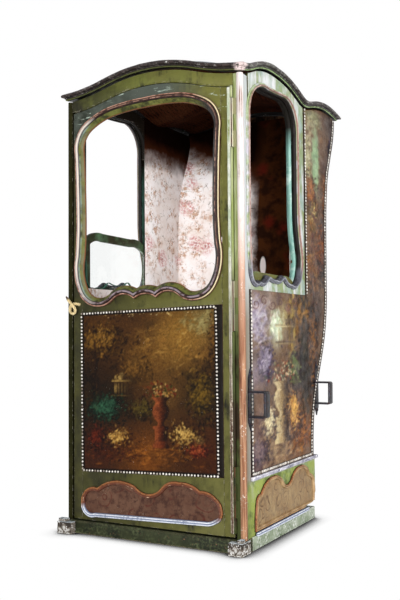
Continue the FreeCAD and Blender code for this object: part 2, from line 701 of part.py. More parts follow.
def build_door():
    left, right, foot = dim["door_left"], dim["door_right"], dim["door_bottom"]
    front, back = f"{D}front_y", f"{D}front_y + {D}door_thickness"
    opening = offset_edges(door_window(), -DOOR_LAP)
    stile = dim["door_stile"]

    def top_point(x):
        return header_point(x, -dim["door_drop"])

    stiles = []
    for word, low, high in (("left", left, left + stile), ("right", right - stile, right)):
        steps = [(high, foot)] + [top_point(high)] + along(FRONT_WAVE, high, low, top_point)
        post = board(f"door_stile_{word}", "front", outline_edges((low, foot), steps), front, back)
        if word == "left":
            pocket(post, "front", opening, front, back)
        stiles.append(post)
    keep("door_stiles", *stiles)

    low, high = left + stile + 0.2, right - stile - 0.2
    top_rail_foot, mid_rail_top = 1370, 905
    steps = along(FRONT_WAVE, low, high, top_point) + [(high, top_rail_foot), (low, top_rail_foot)]
    rail = board("door_top_rail", "front", outline_edges(top_point(low), steps), front, back)
    pocket(rail, "front", opening, front, back)
    keep("door_top_rail", rail)

    thin = f"{D}front_y + {D}board"
    panel_top, panel_bottom = dim["door_panel_top"], dim["door_panel_bottom"]
    lowered, raised = sag(low, panel_top + FIT), sag(high, panel_top + FIT)
    edges = outline_edges(lowered, [raised, (high, mid_rail_top), (low, mid_rail_top)])
    rail = board("door_mid_rail", "front", edges, front, thin)
    pocket(rail, "front", opening, front, back)
    keep("door_mid_rail", rail)

    panel = [sag(low, panel_top), sag(low, panel_bottom), sag(high, panel_bottom), sag(high, panel_top)]
    keep("door_panel", board("door_panel", "front", outline_edges(panel[0], panel[1:]), front, thin))
    apron_top = panel_bottom - FIT
    apron = [sag(low, apron_top), (low, foot), (high, foot), sag(high, apron_top)]
    keep("door_apron", board("door_apron", "front", outline_edges(apron[0], apron[1:]), front, thin))
    edges = box_outline((low, foot + 4), (high, 800))
    keep("door_lining", board("door_lining", "front", edges, f"{D}front_y + {D}door_thickness - {D}lining",
                              back))

    # Window moulding: a proud ring with a tongue that lines the opening.
    ring = new_body("door_window_moulding")
    outer = door_window()
    inner = offset_edges(outer, -DOOR_RING)
    pad(ring, "front", outer + inner, f"{D}front_y - 15", f"{D}front_y - 0.2")
    pad(ring, "front", offset_edges(outer, -DOOR_LAP - 0.5) + inner, f"{D}front_y - 0.4",
        f"{D}front_y + {D}board")
    keep("door_window_moulding", ring)

    outer = outline_edges(sag(*DOOR_SCROLL[-1][-2:]), sagged(DOOR_SCROLL))
    keep("door_cartouche", board("door_cartouche", "front", outer + offset_edges(outer, -15),
                                 f"{D}front_y - 9", f"{D}front_y - 0.2"))
    build_rope()


ROPE_RADIUS = 5.5
ROPE_ROUTE = [
    # x, depth, height. Out of its hole in the stile, round a loop and across itself.
    (-289, -0.3, 783), (-296, -9, 786), (-310, -13, 787), (-322, -14, 777),
    (-323, -14, 762), (-311, -16, 752), (-297, -20, 755), (-293, -23, 768),
    (-304, -25.5, 783), (-320, -24, 797), (-334, -20, 812),
]
ARC_SHARE = 0.45        # share of the shorter run that an arc takes


def build_rope():
    """Short knotted rope in the door's free edge, in place of a lost latch."""
    points = [Vector(x, y_at(depth), z) for x, depth, z in ROPE_ROUTE]
    segments, radii = [], []
    here = points[0]
    for before, corner, after in zip(points, points[1:], points[2:]):
        into, out = corner - before, after - corner
        half_turn = into.getAngle(out) / 2
        trim = ARC_SHARE * min(into.Length, out.Length)
        radius = trim / math.tan(half_turn)
        start = corner - into.normalize() * trim
        end = corner + out.normalize() * trim
        to_chord = (start + end) / 2 - corner
        inside = radius / math.cos(half_turn) - radius
        middle = corner + to_chord.normalize() * inside
        segments.append(Part.LineSegment(here, start).toShape())
        segments.append(Part.Arc(start, middle, end).toShape())
        radii.append(radius)
        here = end
    segments.append(Part.LineSegment(here, points[-1]).toShape())
    path = Part.Wire(segments)
    section = Part.Wire(Part.makeCircle(ROPE_RADIUS, points[0], points[1] - points[0]))
    rope = doc.addObject("Part::Feature", "rope_tie")
    rope.Shape = path.makePipeShell([section], True, False)
    rope.Placement = Placement(Vector(0, 0, 0), Rotation())
    keep("rope_tie", rope)
    swept = math.pi * ROPE_RADIUS**2 * path.Length
    print("rope: length", round(path.Length, 1), "radii", [round(r, 1) for r in radii],
          "volume / swept", round(rope.Shape.Volume / swept, 4))


def cylinder(name, radius, length, x, y, z, lying=False):
    solid = doc.addObject("Part::Cylinder", name)
    solid.setExpression("Radius", radius)
    solid.Height = length
    turn = Rotation(Vector(0, 1, 0), 90) if lying else Rotation()
    solid.Placement = Placement(Vector(x, y, z), turn)
    return solid


def plate(name, size, corner):
    solid = doc.addObject("Part::Box", name)
    solid.Length, solid.Width, solid.Height = size
    solid.Placement = Placement(Vector(*corner), Rotation())
    return solid


def fuse(name, *parts):
    result = doc.addObject("Part::MultiFuse", name)
    result.Shapes = list(parts)
    return result


def cut(name, base, tool):
    result = doc.addObject("Part::Cut", name)
    result.Base = base
    result.Tool = tool
    return result


KNUCKLE_SPACE = 0.6     # play at each end of a middle knuckle
DOOR_HINGE_FEET = (110, 686, 1265)
DOOR_KNUCKLE = 52       # length of a door hinge's knuckle
LID_HINGE_PLACES = (("left", -255), ("right", 255))
LID_KNUCKLE = 24        # length of a lid hinge's knuckle


def build_door_hinges():
    """Three butt hinges. The post's leaf carries the two end knuckles and the pin."""
    x, y = dim["hinge_x"], y_at(dim["hinge_depth"])
    knuckle, pin, bore = D + "knuckle", D + "pin", f"{D}pin + {D}pin_clearance"
    post_sets, door_sets = [], []
    length, space = DOOR_KNUCKLE, KNUCKLE_SPACE
    leaf_front, leaf_thickness = -2.6, 2.4
    for number, foot in enumerate(DOOR_HINGE_FEET):
        tag = f"hinge_{number + 1}"
        knuckles = []
        for place, z in (("low", foot), ("high", foot + 2 * length)):
            knuckles.append(cylinder(f"{tag}_knuckle_{place}", knuckle, length, x, y, z))
            leaf = (14, leaf_thickness, length)
            knuckles.append(plate(f"{tag}_leaf_{place}", leaf, (x + 1, y_at(leaf_front), z)))
        knuckles.append(cylinder(f"{tag}_pin", pin, 3 * length, x, y, foot))
        post_sets.append(fuse(f"{tag}_post", *knuckles))
        middle = foot + length + space
        barrel = cylinder(f"{tag}_barrel", knuckle, length - 2 * space, x, y, middle)
        leaf = plate(f"{tag}_door_leaf", (22, leaf_thickness, length - 2 * space),
                     (x - 23, y_at(leaf_front), middle))
        hole = cylinder(f"{tag}_bore", bore, length, x, y, foot + length)
        door_sets.append(cut(f"{tag}_door", fuse(f"{tag}_door_solid", barrel, leaf), hole))
    keep("door_hinges_post", *post_sets)
    keep("door_hinges_door", *door_sets)


def build_lid_hinges():
    """Two strap hinges under the back cornice."""
    y, z = y_at(dim["lid_hinge_depth"]), dim["lid_hinge_z"]
    knuckle, pin, bore = D + "knuckle", D + "pin", f"{D}pin + {D}pin_clearance"
    cabin_sets, lid_sets = [], []
    length, space = LID_KNUCKLE, KNUCKLE_SPACE
    for word, centre in LID_HINGE_PLACES:
        start = centre - 1.5 * length
        tag = f"lid_hinge_{word}"
        solids = []
        for place, x in (("a", start), ("b", start + 2 * length)):
            solids.append(cylinder(f"{tag}_knuckle_{place}", knuckle, length, x, y, z, True))
            solids.append(plate(f"{tag}_leaf_{place}", (length, 8, 3), (x, y - 8, z - 4)))
            solids.append(plate(f"{tag}_drop_{place}", (length, 3, 40), (x, y - 7.9, z - 42)))
        solids.append(cylinder(f"{tag}_pin", pin, 3 * length, start, y, z, True))
        cabin_sets.append(fuse(f"{tag}_cabin", *solids))
        x = start + length + space
        barrel = cylinder(f"{tag}_barrel", knuckle, length - 2 * space, x, y, z, True)
        strap = plate(f"{tag}_strap", (length - 2 * space, 3, 29), (x, y + 3, z))
        hole = cylinder(f"{tag}_bore", bore, length, start + length, y, z, True)
        lid_sets.append(cut(f"{tag}_lid", fuse(f"{tag}_solid", barrel, strap), hole))
    keep("lid_hinges_cabin", *cabin_sets)
    keep("lid_hinges_lid", *lid_sets)


CORNICE_REACH = 20
REAR_REACH = 30
ABOVE_ROOF = "1700"
SHELL_STEP = 40         # distance between the roof shell's sections
SHELL_LOW, SHELL_HIGH = 10.5, 18.5      # its two faces above the lid's seat
CORNICE_MEMBERS = [
    # inner and outer reach from the wall's face, lowest and highest above the lid's seat
    (-36, 8, 0, 9),
    (0.2, CORNICE_REACH, 3, 18),
]


def mitre_outlines(inner, outer, side):
    """Waste on the two sides of a mitre line that runs from one corner to another."""
    (xi, di), (xo, do) = inner, outer
    start = (xi - (xo - xi), di - (do - di))
    stop = (xo + 0.3 * (xo - xi), do + 0.3 * (do - di))
    beyond = [stop, (stop[0] + 60, stop[1]), (stop[0] + 60, start[1])]
    within = [stop, (start[0], stop[1])]
    result = []
    for waste in (beyond, within):
        points = [(side * x, y_at(depth)) for x, depth in waste]
        result.append(outline_edges((side * start[0], y_at(start[1])), points))
    return result


def build_roof():
    half = dim["half_width"]
    gap = dim["lid_gap"]
    # Cornices: two stacked members that follow the waves of the walls' tops, mitred.
    front, rear = new_body("cornice_front"), new_body("cornice_rear")
    sides = [new_body("cornice_left"), new_body("cornice_right")]
    rear_rise = side_rise(REAR_CREST)
    reach = half + CORNICE_REACH
    for inner, outer, low, high in CORNICE_MEMBERS:
        low, high = low + gap, high + gap
        rear_outer = min(outer, REAR_REACH)

        def band(lift):
            steps = along(FRONT_WAVE, -reach, reach, lambda x: header_point(x, low + lift))
            steps += [header_point(reach, high + lift)]
            steps += along(FRONT_WAVE, reach, -reach, lambda x: header_point(x, high + lift))
            return outline_edges(header_point(-reach, low + lift), steps)

        pad(front, "front", band(0), f"{D}front_y - {outer}", f"{D}front_y + {-inner}")
        pad(rear, "front", band(rear_rise), f"{D}front_y + {BACK_FACE + inner}",
            f"{D}front_y + {BACK_FACE + rear_outer}")
        start, stop = -CORNICE_REACH, BACK_FACE + REAR_REACH
        steps = along(SIDE_WAVE, start, stop, lambda d: seam_point(d, low))
        steps += [seam_point(stop, high)]
        steps += along(SIDE_WAVE, stop, start, lambda d: seam_point(d, high))
        edges = outline_edges(seam_point(start, low), steps)
        for body, side in zip(sides, (-1, 1)):
            pad(body, "side", edges, *side_levels(side, f"{HALF} + {inner}", f"{HALF} + {outer}"))
    wall = dim["wall"]
    for body, side in zip(sides, (-1, 1)):
        corners = (
            (front, (half - wall, wall), (reach, -CORNICE_REACH)),
            (rear, (half - wall, BACK_FACE - wall), (reach, BACK_FACE + REAR_REACH)),
        )
        for across, inner, outer in corners:
            beyond, within = mitre_outlines(inner, outer, side)
            pocket(across, "floor", beyond, D + "opening_top", ABOVE_ROOF)
            pocket(body, "floor", within, D + "opening_top", ABOVE_ROOF)
    keep("cornice_front", front)
    keep("cornice_rear", rear)
    keep("cornice_sides", *sides)

    # Shell: the front wave carried back over the side wave, section by section.
    low, high = gap + SHELL_LOW, gap + SHELL_HIGH
    stations = [FIT] + list(range(SHELL_STEP, BACK_FACE, SHELL_STEP)) + [BACK_FACE - FIT]
    wires = []
    for depth in stations:
        rise = side_rise(depth)
        steps = along(FRONT_WAVE, -half, half, lambda x: header_point(x, low))
        steps += [header_point(half, high)]
        steps += along(FRONT_WAVE, half, -half, lambda x: header_point(x, high))
        edges = [edge.toShape() for edge in outline_edges(header_point(-half, low), steps)]
        wire = Part.Wire(edges)
        wire.Placement = Placement(Vector(0, y_at(depth), rise), Rotation(Vector(1, 0, 0), 90))
        wires.append(wire)
    shell = doc.addObject("Part::Feature", "roof_shell")
    shell.Shape = Part.makeLoft(wires, True, True)
    shell.Placement = Placement(Vector(0, 0, 0), Rotation())
    keep("roof_shell", shell)


build_base()
build_posts()
build_rails()
build_panels()
build_inside()
build_sashes()
build_side_mouldings()
build_brackets()
build_door()
build_door_hinges()
build_lid_hinges()
build_roof()

doc.recompute()
for item in doc.Objects:
    if "Invalid" in item.State or "Error" in item.State:
        raise RuntimeError(f"{item.Name} failed: {item.State}")
for name, node in pieces.items():
    if node.Shape.isNull() or not node.Shape.isValid():
        raise RuntimeError(f"{name} has a bad shape")

os.makedirs("parts", exist_ok=True)
for name, node in pieces.items():
    node.Shape.exportStep(f"parts/{name}.step")
    print(f"{name:24s} {len(node.Shape.Solids)} solids {node.Shape.Volume / 1e6:9.3f} litres")
print(len(pieces), "nodes")
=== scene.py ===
import bmesh
import bpy
import json
import math
import numpy as np
import random
from functools import partial
from mathutils import Matrix, Vector, geometry, noise

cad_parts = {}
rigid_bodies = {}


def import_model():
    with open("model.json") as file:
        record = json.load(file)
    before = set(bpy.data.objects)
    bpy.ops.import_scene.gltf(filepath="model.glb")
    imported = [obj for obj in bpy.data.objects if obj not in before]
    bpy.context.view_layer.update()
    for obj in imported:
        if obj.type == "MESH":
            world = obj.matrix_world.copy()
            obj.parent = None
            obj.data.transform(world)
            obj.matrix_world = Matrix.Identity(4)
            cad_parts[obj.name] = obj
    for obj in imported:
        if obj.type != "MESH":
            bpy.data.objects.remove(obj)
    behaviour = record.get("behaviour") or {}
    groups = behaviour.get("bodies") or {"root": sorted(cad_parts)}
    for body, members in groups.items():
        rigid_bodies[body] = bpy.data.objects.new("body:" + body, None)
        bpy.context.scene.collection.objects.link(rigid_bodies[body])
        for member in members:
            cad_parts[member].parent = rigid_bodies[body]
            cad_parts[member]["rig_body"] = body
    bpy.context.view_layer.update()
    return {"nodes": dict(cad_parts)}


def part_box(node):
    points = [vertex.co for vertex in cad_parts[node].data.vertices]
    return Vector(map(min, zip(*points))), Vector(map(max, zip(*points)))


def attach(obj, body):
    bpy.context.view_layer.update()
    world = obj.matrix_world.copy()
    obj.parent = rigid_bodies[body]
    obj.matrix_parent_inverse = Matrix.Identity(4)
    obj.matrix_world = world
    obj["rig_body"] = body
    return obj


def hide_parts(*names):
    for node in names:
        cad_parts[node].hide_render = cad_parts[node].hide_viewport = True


# Sedan chair: old oil paint over gesso, carved mouldings, painted leather panels held by
# domed nails, printed cotton lining, iron pole brackets. Metres, in the frame's own axes:
# X across, Y from front to back, Z up. Depths are measured back from the front face.

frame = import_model()
noise.seed_set(29)      # the noise vectors take their offsets from this
scene = bpy.context.scene
mm = 0.001
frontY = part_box("door_panel")[0][1]
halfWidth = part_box("side_panel_right")[1][0]
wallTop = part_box("front_posts")[1][2]
walls = ((-1, "Left"), (1, "Right"))

# The waves of the wall tops and the curve of the back, in millimetres:
# place, height or depth there, slope.
waves = {
    "front": [(-380, -2.5, 0.06), (-338, 0, 0.06), (-175, 30, 0.30), (0, 56, 0),
              (175, 30, -0.30), (338, 0, -0.06), (380, -2.5, -0.06)],
    "side": [(-45, -5.4, 0.12), (0, 0, 0.12), (85, 24, 0.43), (245, 57, 0), (275, 57, 0),
             (449, 32, -0.29), (490, 20, -0.29), (535, 13.5, 0), (577, 19, 0.26),
             (620, 30, 0.26), (760, 49, 0), (865, 41, -0.15), (905, 35, -0.15)],
    "back": [(0, 582, 0.03), (290, 591, 0.03), (500, 648, 0.50), (600, 699, 0.50),
             (820, 756, 0.02), (1090, 762, 0.02), (1250, 777, 0.15), (1350, 808, 0.45),
             (1430, 844, 0.45), (1545, 872, 0.05), (1640, 873, 0)],
}


def onWave(name, place):
    # Height of the smooth curve through the knots; place and result in millimetres
    knots = waves[name]
    for (a, first, slopeA), (b, second, slopeB) in zip(knots, knots[1:]):
        if place <= b or b == knots[-1][0]:
            span = b - a
            t = (place - a) / span
            start = (2 * t**3 - 3 * t**2 + 1) * first + (t**3 - 2 * t**2 + t) * span * slopeA
            end = (3 * t**2 - 2 * t**3) * second + (t**3 - t**2) * span * slopeB
            return start + end


def depthToY(depth):
    return frontY + depth * mm


def metres(x, depth, z):
    # A place of the frame from millimetres across, behind the front face and up
    return (x * mm, depthToY(depth), z * mm)


def ripple(*place):
    return noise.noise(Vector(place))


def linked(name, data):
    thing = bpy.data.objects.new(name, data)
    scene.collection.objects.link(thing)
    return thing


def roofHeight(x, depth, lift):
    return wallTop + (onWave("front", x) + onWave("side", depth) + lift) * mm


def linear(hexColour):
    # sRGB hex to the linear colour that a shader takes
    parts = [int(hexColour[i:i + 2], 16) / 255 for i in (1, 3, 5)]
    return tuple(c / 12.92 if c < 0.04045 else ((c + 0.055) / 1.055) ** 2.4 for c in parts) + (1.0,)


# Camera at a standing viewer's place, a little below the windows
view = {"place": (1.444, -2.723, 0.670), "turn": 28.77, "lift": 2.55, "roll": -0.46, "lens": 49.1}


def placeCamera():
    turn, lift, roll = (math.radians(view[key]) for key in ("turn", "lift", "roll"))
    ahead = Vector((-math.sin(turn) * math.cos(lift), math.cos(turn) * math.cos(lift), math.sin(lift)))
    right = Vector((math.cos(turn), math.sin(turn), 0))
    up = right.cross(ahead)
    tilted = right * math.cos(roll) + up * math.sin(roll)
    upright = up * math.cos(roll) - right * math.sin(roll)
    data = bpy.data.cameras.new("viewer")
    data.lens, data.sensor_width = view["lens"], 36
    camera = linked("viewer", data)
    axes = Matrix((tilted, upright, -ahead)).transposed()
    camera.matrix_world = Matrix.Translation(view["place"]) @ axes.to_4x4()
    scene.camera = camera


placeCamera()
print("camera placed")


def newMaterial(name):
    # A material, and the one function that adds nodes to it. Inputs come by name, or as a
    # list in their order, and take numbers, hex colours or other nodes' sockets; the chosen
    # output socket comes back.
    material = bpy.data.materials.new(name)
    material.use_nodes = True
    return material, nodeAdder(material.node_tree)


def newFinish(name, *stored):
    # The same with the piece's own coordinates, the function for patches on them, and the
    # fields of those names that the piece stores
    material, add = newMaterial(name)
    coord = add("TexCoord", output="Object")
    values = [add("Attribute", output="Fac", attribute_name=key) for key in stored]
    return material, add, coord, partial(patches, add, coord), *values


def nodeAdder(tree):
    tree.nodes.clear()

    def add(kind, inputs=(), output=0, stops=None, **settings):
        node = tree.nodes.new("ShaderNode" + kind)
        for key, value in settings.items():
            setattr(node, key, value)
        for key, value in inputs.items() if isinstance(inputs, dict) else enumerate(inputs):
            if isinstance(value, bpy.types.NodeSocket):
                tree.links.new(value, node.inputs[key])
            else:
                node.inputs[key].default_value = linear(value) if isinstance(value, str) else value
        if stops:
            ramp = node.color_ramp
            while len(ramp.elements) < len(stops):
                ramp.elements.new(1.0)
            for element, (place, tone) in zip(ramp.elements, stops):
                element.position = place
                element.color = linear(tone)
        return node.outputs[output] if len(node.outputs) else node

    return add


# Patterns that several finishes share

def patches(add, place, size, low, high, detail=5.0, stretch=None):
    # Irregular patches of about that size in metres: 0 below low, 1 above high
    if stretch:
        place = add("Mapping", {"Vector": place, "Scale": stretch})
    cloud = add("TexNoise", {"Vector": place, "Scale": 1 / size, "Detail": detail, "Roughness": 0.6}, "Fac")
    return add("MapRange", [cloud, low, high])


def coats(add, base, *layers):
    # Colours laid over each other. A layer is its colour and the masks that it needs.
    for tone, *masks in layers:
        cover = masks[0]
        for mask in masks[1:]:
            cover = add("Math", [cover, mask], operation="MULTIPLY", use_clamp=True)
        base = add("Mix", {0: cover, 6: base, 7: tone}, 2, data_type="RGBA")
    return base


def rubbed(add, radius):
    # 1 on the edges that hands and poles have rubbed, 0 on flat faces
    rounded = add("Bevel", {"Radius": radius}, samples=4)
    flat = add("NewGeometry", output="Normal")
    same = add("VectorMath", [rounded, flat], "Value", operation="DOT_PRODUCT")
    return add("MapRange", [same, 0.995, 0.86])


def zone(add, value, low, high, soft):
    # 1 where the value lies between two limits, with soft borders
    rise = add("MapRange", [value, low - soft, low + soft])
    fall = add("MapRange", [value, high + soft, high - soft])
    return add("Math", [rise, fall], operation="MINIMUM")


def surface(material, add, colour, roughness, bumps=(), specular=0.5, **extra):
    # The finish itself, with its relief: rows of height and depth in metres
    inputs = {"Base Color": colour, "Roughness": roughness, "Specular IOR Level": specular}
    inputs.update({key.replace("_", " "): value for key, value in extra.items()})
    for height, depth in bumps:
        relief = {"Height": height, "Distance": abs(depth), "Strength": 1.0}
        if "Normal" in inputs:
            relief["Normal"] = inputs["Normal"]
        inputs["Normal"] = add("Bump", relief, invert=depth < 0)
    add("OutputMaterial", {"Surface": add("BsdfPrincipled", inputs)})
    return material


# Shapes that several pieces share

def newPiece(name, points, faces, finish, body, stands=(), fields=None, smooth=True):
    # A mesh piece that rides on a body and may stand for CAD nodes
    mesh = bpy.data.meshes.new(name)
    mesh.from_pydata([tuple(p) for p in points], [], faces)
    mesh.update()
    for key, values in (fields or {}).items():
        mesh.attributes.new(key, "FLOAT", "POINT").data.foreach_set("value", list(values))
    mesh.materials.append(finish)
    for polygon in mesh.polygons:
        polygon.use_smooth = smooth
    piece = linked(name, mesh)
    return settle(piece, body, stands)


def settle(piece, body, stands=()):
    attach(piece, body)
    if stands:
        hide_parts(*stands)
    return piece


def addPainting(piece, colours):
    # Colours of the painting at each point
    layer = piece.data.color_attributes.new("paint", "FLOAT_COLOR", "POINT")
    rows = np.ones((len(piece.data.vertices), 4))
    rows[:, :3] = colours
    layer.data.foreach_set("color", rows.ravel())


def softened(node, finish, width=0.9, wander=0.0):
    # The CAD board with its arrises eased by hand; both widths in millimetres
    source = frame["nodes"][node]
    first, *others = node.split("_")
    name = first + "".join(word.title() for word in others)
    mesh = source.data.copy()
    mesh.name = name
    shape = bmesh.new()
    shape.from_mesh(mesh)
    bmesh.ops.remove_doubles(shape, verts=shape.verts, dist=0.01 * mm)
    bmesh.ops.dissolve_limit(shape, angle_limit=math.radians(0.8), verts=shape.verts, edges=shape.edges,
                             delimit=set())
    for point in shape.verts:
        if wander:
            point.co += noise.noise_vector(point.co * 14) * wander * mm
    for face in shape.faces:
        face.smooth = True
    shape.to_mesh(mesh)
    shape.free()
    mesh.materials.clear()
    mesh.materials.append(finish)
    piece = linked(name, mesh)
    ease = piece.modifiers.new("easedArris", "BEVEL")
    ease.width, ease.segments = width * mm, 2
    ease.limit_method, ease.angle_limit = "ANGLE", math.radians(32)
    ease.harden_normals = True
    return settle(piece, source["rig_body"], [node])


def freeze(piece):
    # The modifiers' result becomes the mesh
    bpy.context.view_layer.update()
    shaped = bpy.data.meshes.new_from_object(piece.evaluated_get(bpy.context.evaluated_depsgraph_get()))
    piece.modifiers.clear()
    piece.data = shaped


def dress(finish, *nodes):
    for node in nodes:
        frame["nodes"][node].material_slots[0].material = finish


def gridFaces(rows, columns, first=0, closed=False, flip=False):
    # Quads between rows of points; closed joins the last column to the first
    faces = []
    for i in range(rows - 1):
        for j in range(columns if closed else columns - 1):
            k = (j + 1) % columns
            quad = [first + i * columns + j, first + i * columns + k, first + (i + 1) * columns + k,
                    first + (i + 1) * columns + j]
            faces.append(quad[::-1] if flip else quad)
    return faces


def endFaces(rows, columns, first=0, flip=False):
    # The two faces that close a tube of such rows
    last = first + (rows - 1) * columns
    ends = [list(range(first, first + columns))[::-1], list(range(last, last + columns))]
    return [end[::-1] for end in ends] if flip else ends


# Hemp rope tied through the door's free edge in place of a lost latch. Three laid strands
# give it a twisted outline; cream where the light takes it, brown in the lay.
rope = {
    # x, depth, height in millimetres
    "route": [(-289, -0.3, 783), (-296, -9, 786), (-310, -13, 787), (-322, -14, 777),
              (-323, -14, 762), (-311, -16, 752), (-297, -20, 755), (-293, -23, 768),
              (-304, -25.5, 783), (-320, -24, 797), (-334, -20, 812)],
    "thickness": 0.011,
    "length": 0.156,
    "strandRadius": 0.0027,
    "strandOffset": 0.0028,
    "layPitch": 0.024,           # one turn of a strand
    "sides": 8,
}


def hempRope():
    material, add, _, patch, turn, tip = newFinish("hempRope", "inner", "tip")
    fibres = patch(0.0016, 0.35, 0.65, stretch=(1, 1, 0.5))   # coarser than hemp, to show
    colour = coats(add, "#f1e3b4", ("#d3b478", fibres), ("#7a5026", turn),
                   ("#4a2f18", zone(add, tip, 0.90, 2.0, 0.03)))
    return surface(material, add, colour, 0.85, [(fibres, 0.0004)])


def splineLine(name, points):
    # The smooth line of a cord, read back from its NURBS spline
    curve = bpy.data.curves.new(name, "CURVE")
    curve.dimensions = "3D"
    spline = curve.splines.new("NURBS")
    spline.points.add(len(points) - 1)
    for point, place in zip(spline.points, points):
        point.co = (*place, 1)
    spline.order_u = 3
    spline.use_endpoint_u = True
    spline.resolution_u = 12
    guide = linked(name, curve)
    bpy.context.view_layer.update()
    line = bpy.data.meshes.new_from_object(guide)
    places = [v.co.copy() for v in line.vertices]
    bpy.data.objects.remove(guide)
    return places


def layRope():
    line = splineLine("ropeLine", [metres(x, depth, z) for x, depth, z in rope["route"]])
    along = [0.0]
    for a, b in zip(line, line[1:]):
        along.append(along[-1] + (b - a).length)
    points, faces, inner, tip = [], [], [], []
    sides = rope["sides"]
    for strand in range(3):
        across = Vector((0, 0, 1))
        first = len(points)
        for i, place in enumerate(line):
            ahead = (line[min(i + 1, len(line) - 1)] - line[max(i - 1, 0)]).normalized()
            across = (across - ahead * across.dot(ahead)).normalized()
            other = ahead.cross(across)
            turn = math.tau * (along[i] / rope["layPitch"] + strand / 3)
            out = across * math.cos(turn) + other * math.sin(turn)
            share = along[i] / along[-1]
            thin = 1 - 0.45 * max(0, share - 0.9) / 0.1
            centre = place + out * rope["strandOffset"] * thin
            for k in range(sides):
                angle = math.tau * k / sides
                spoke = out * math.cos(angle) + ahead.cross(out) * math.sin(angle)
                points.append(centre + spoke * rope["strandRadius"] * thin)
                inner.append(max(0.0, -math.cos(angle)) * 0.9)
                tip.append(share)
        faces += gridFaces(len(line), sides, first, closed=True) + endFaces(len(line), sides, first)
    piece = newPiece("rope", points, faces, hempRope(), "door", ["rope_tie"],
                     {"inner": inner, "tip": tip})
    tuple(line[0])
    [tuple(p) for p in line]


layRope()
print("rope laid")


# White studio. The floor and the world are white where they are seen, directly, through
# glass or in a reflection; the floor darkens in a narrow band where the base shades it.
studio = {
    "floorHalf": 12.0, "shadowReach": 0.075,
    "keyPlace": (1.7, -8.8, 1.45), "keyAim": (0.0, 0.0, 0.95), "keySize": 2.4, "keyPower": 640,
    "sidePlace": (4.6, -0.7, 1.5), "sideAim": (0.2, 0, 0.8), "sideSize": 2.6, "sidePower": 150,
    "skyFront": "#6c7078", "skySide": "#dedcd8", "skyStrength": 0.62,
}


def seenDirectly(add):
    rays = [add("LightPath", output=f"Is {kind} Ray") for kind in ("Camera", "Glossy", "Transmission")]
    two = add("Math", [rays[0], rays[1]], operation="MAXIMUM")
    return add("Math", [two, rays[2]], operation="MAXIMUM")


def buildStudio():
    material, add = newMaterial("whiteFloor")
    base = add("BsdfPrincipled", {"Base Color": "#efefee", "Roughness": 0.9, "Specular IOR Level": 0.0})
    open_ = add("AmbientOcclusion", {"Distance": studio["shadowReach"]}, "AO", samples=12)
    tone = add("ValToRGB", {0: open_}, stops=[(0.46, "#232221"), (0.62, "#7f7f7f"), (0.76, "#c9c9c9"),
                                              (0.88, "#f0f0f0"), (0.97, "#ffffff")])
    glow = add("Emission", {"Color": tone, "Strength": 1.0})
    add("OutputMaterial", {"Surface": add("MixShader", [seenDirectly(add), base, glow])})
    reach = studio["floorHalf"]
    mesh = bpy.data.meshes.new("studioFloor")
    mesh.from_pydata([(-reach, -reach, 0), (reach, -reach, 0), (reach, reach, 0), (-reach, reach, 0)], [],
                     [(0, 1, 2, 3)])
    mesh.materials.append(material)
    floor = linked("studioFloor", mesh)

    for key in ("key", "side"):
        data = bpy.data.lights.new(key + "Lamp", "AREA")
        data.shape, data.size = "SQUARE", studio[key + "Size"]
        data.energy = studio[key + "Power"]
        lamp = linked(key + "Lamp", data)
        lamp.location = studio[key + "Place"]
        towards = Vector(studio[key + "Aim"]) - lamp.location
        lamp.rotation_euler = towards.to_track_quat("-Z", "Y").to_euler()

    world = bpy.data.worlds.new("softStudio")
    scene.world = world
    world.use_nodes = True
    add = nodeAdder(world.node_tree)
    direction = add("TexCoord", output="Generated")
    rightward = add("SeparateXYZ", [direction], "X")
    share = add("MapRange", [rightward, -0.5, 0.9])
    tone = add("Mix", {0: share, 6: studio["skyFront"], 7: studio["skySide"]}, 2, data_type="RGBA")
    light = add("Background", {"Color": tone, "Strength": studio["skyStrength"]})
    white = add("Background", {"Color": "#ffffff", "Strength": 1.0})
    add("OutputWorld", {"Surface": add("MixShader", [seenDirectly(add), light, white])})
    scene.view_settings.view_transform = "Standard"


buildStudio()
print("studio lit")


# Oil paint brushed over white gesso on the boards. The sheltered front is a brownish olive;
# the sides are grey mint, partly faded by daylight and partly painted light on the faces turned
# sideways; arrises are rubbed to gesso.
paint = {
    "olive": "#4c4a22", "shade": "#2b2a16", "yellow": "#6d6c34", "moss": "#605e30", "slate": "#4b5149",
    "lime": "#828d52", "mint": "#909f80", "frost": "#d3d4d6", "bluish": "#99aca3",
    "smoke": "#1a140d", "teal": "#466a5e",
    "gesso": "#e6e2d4", "wood": "#5d4230", "grime": "#17160e",
    "brushMark": 0.0035,         # finer in life; coarse enough to show
    "slateFoot": 1.35,           # the door's top rail has gone slate grey
}


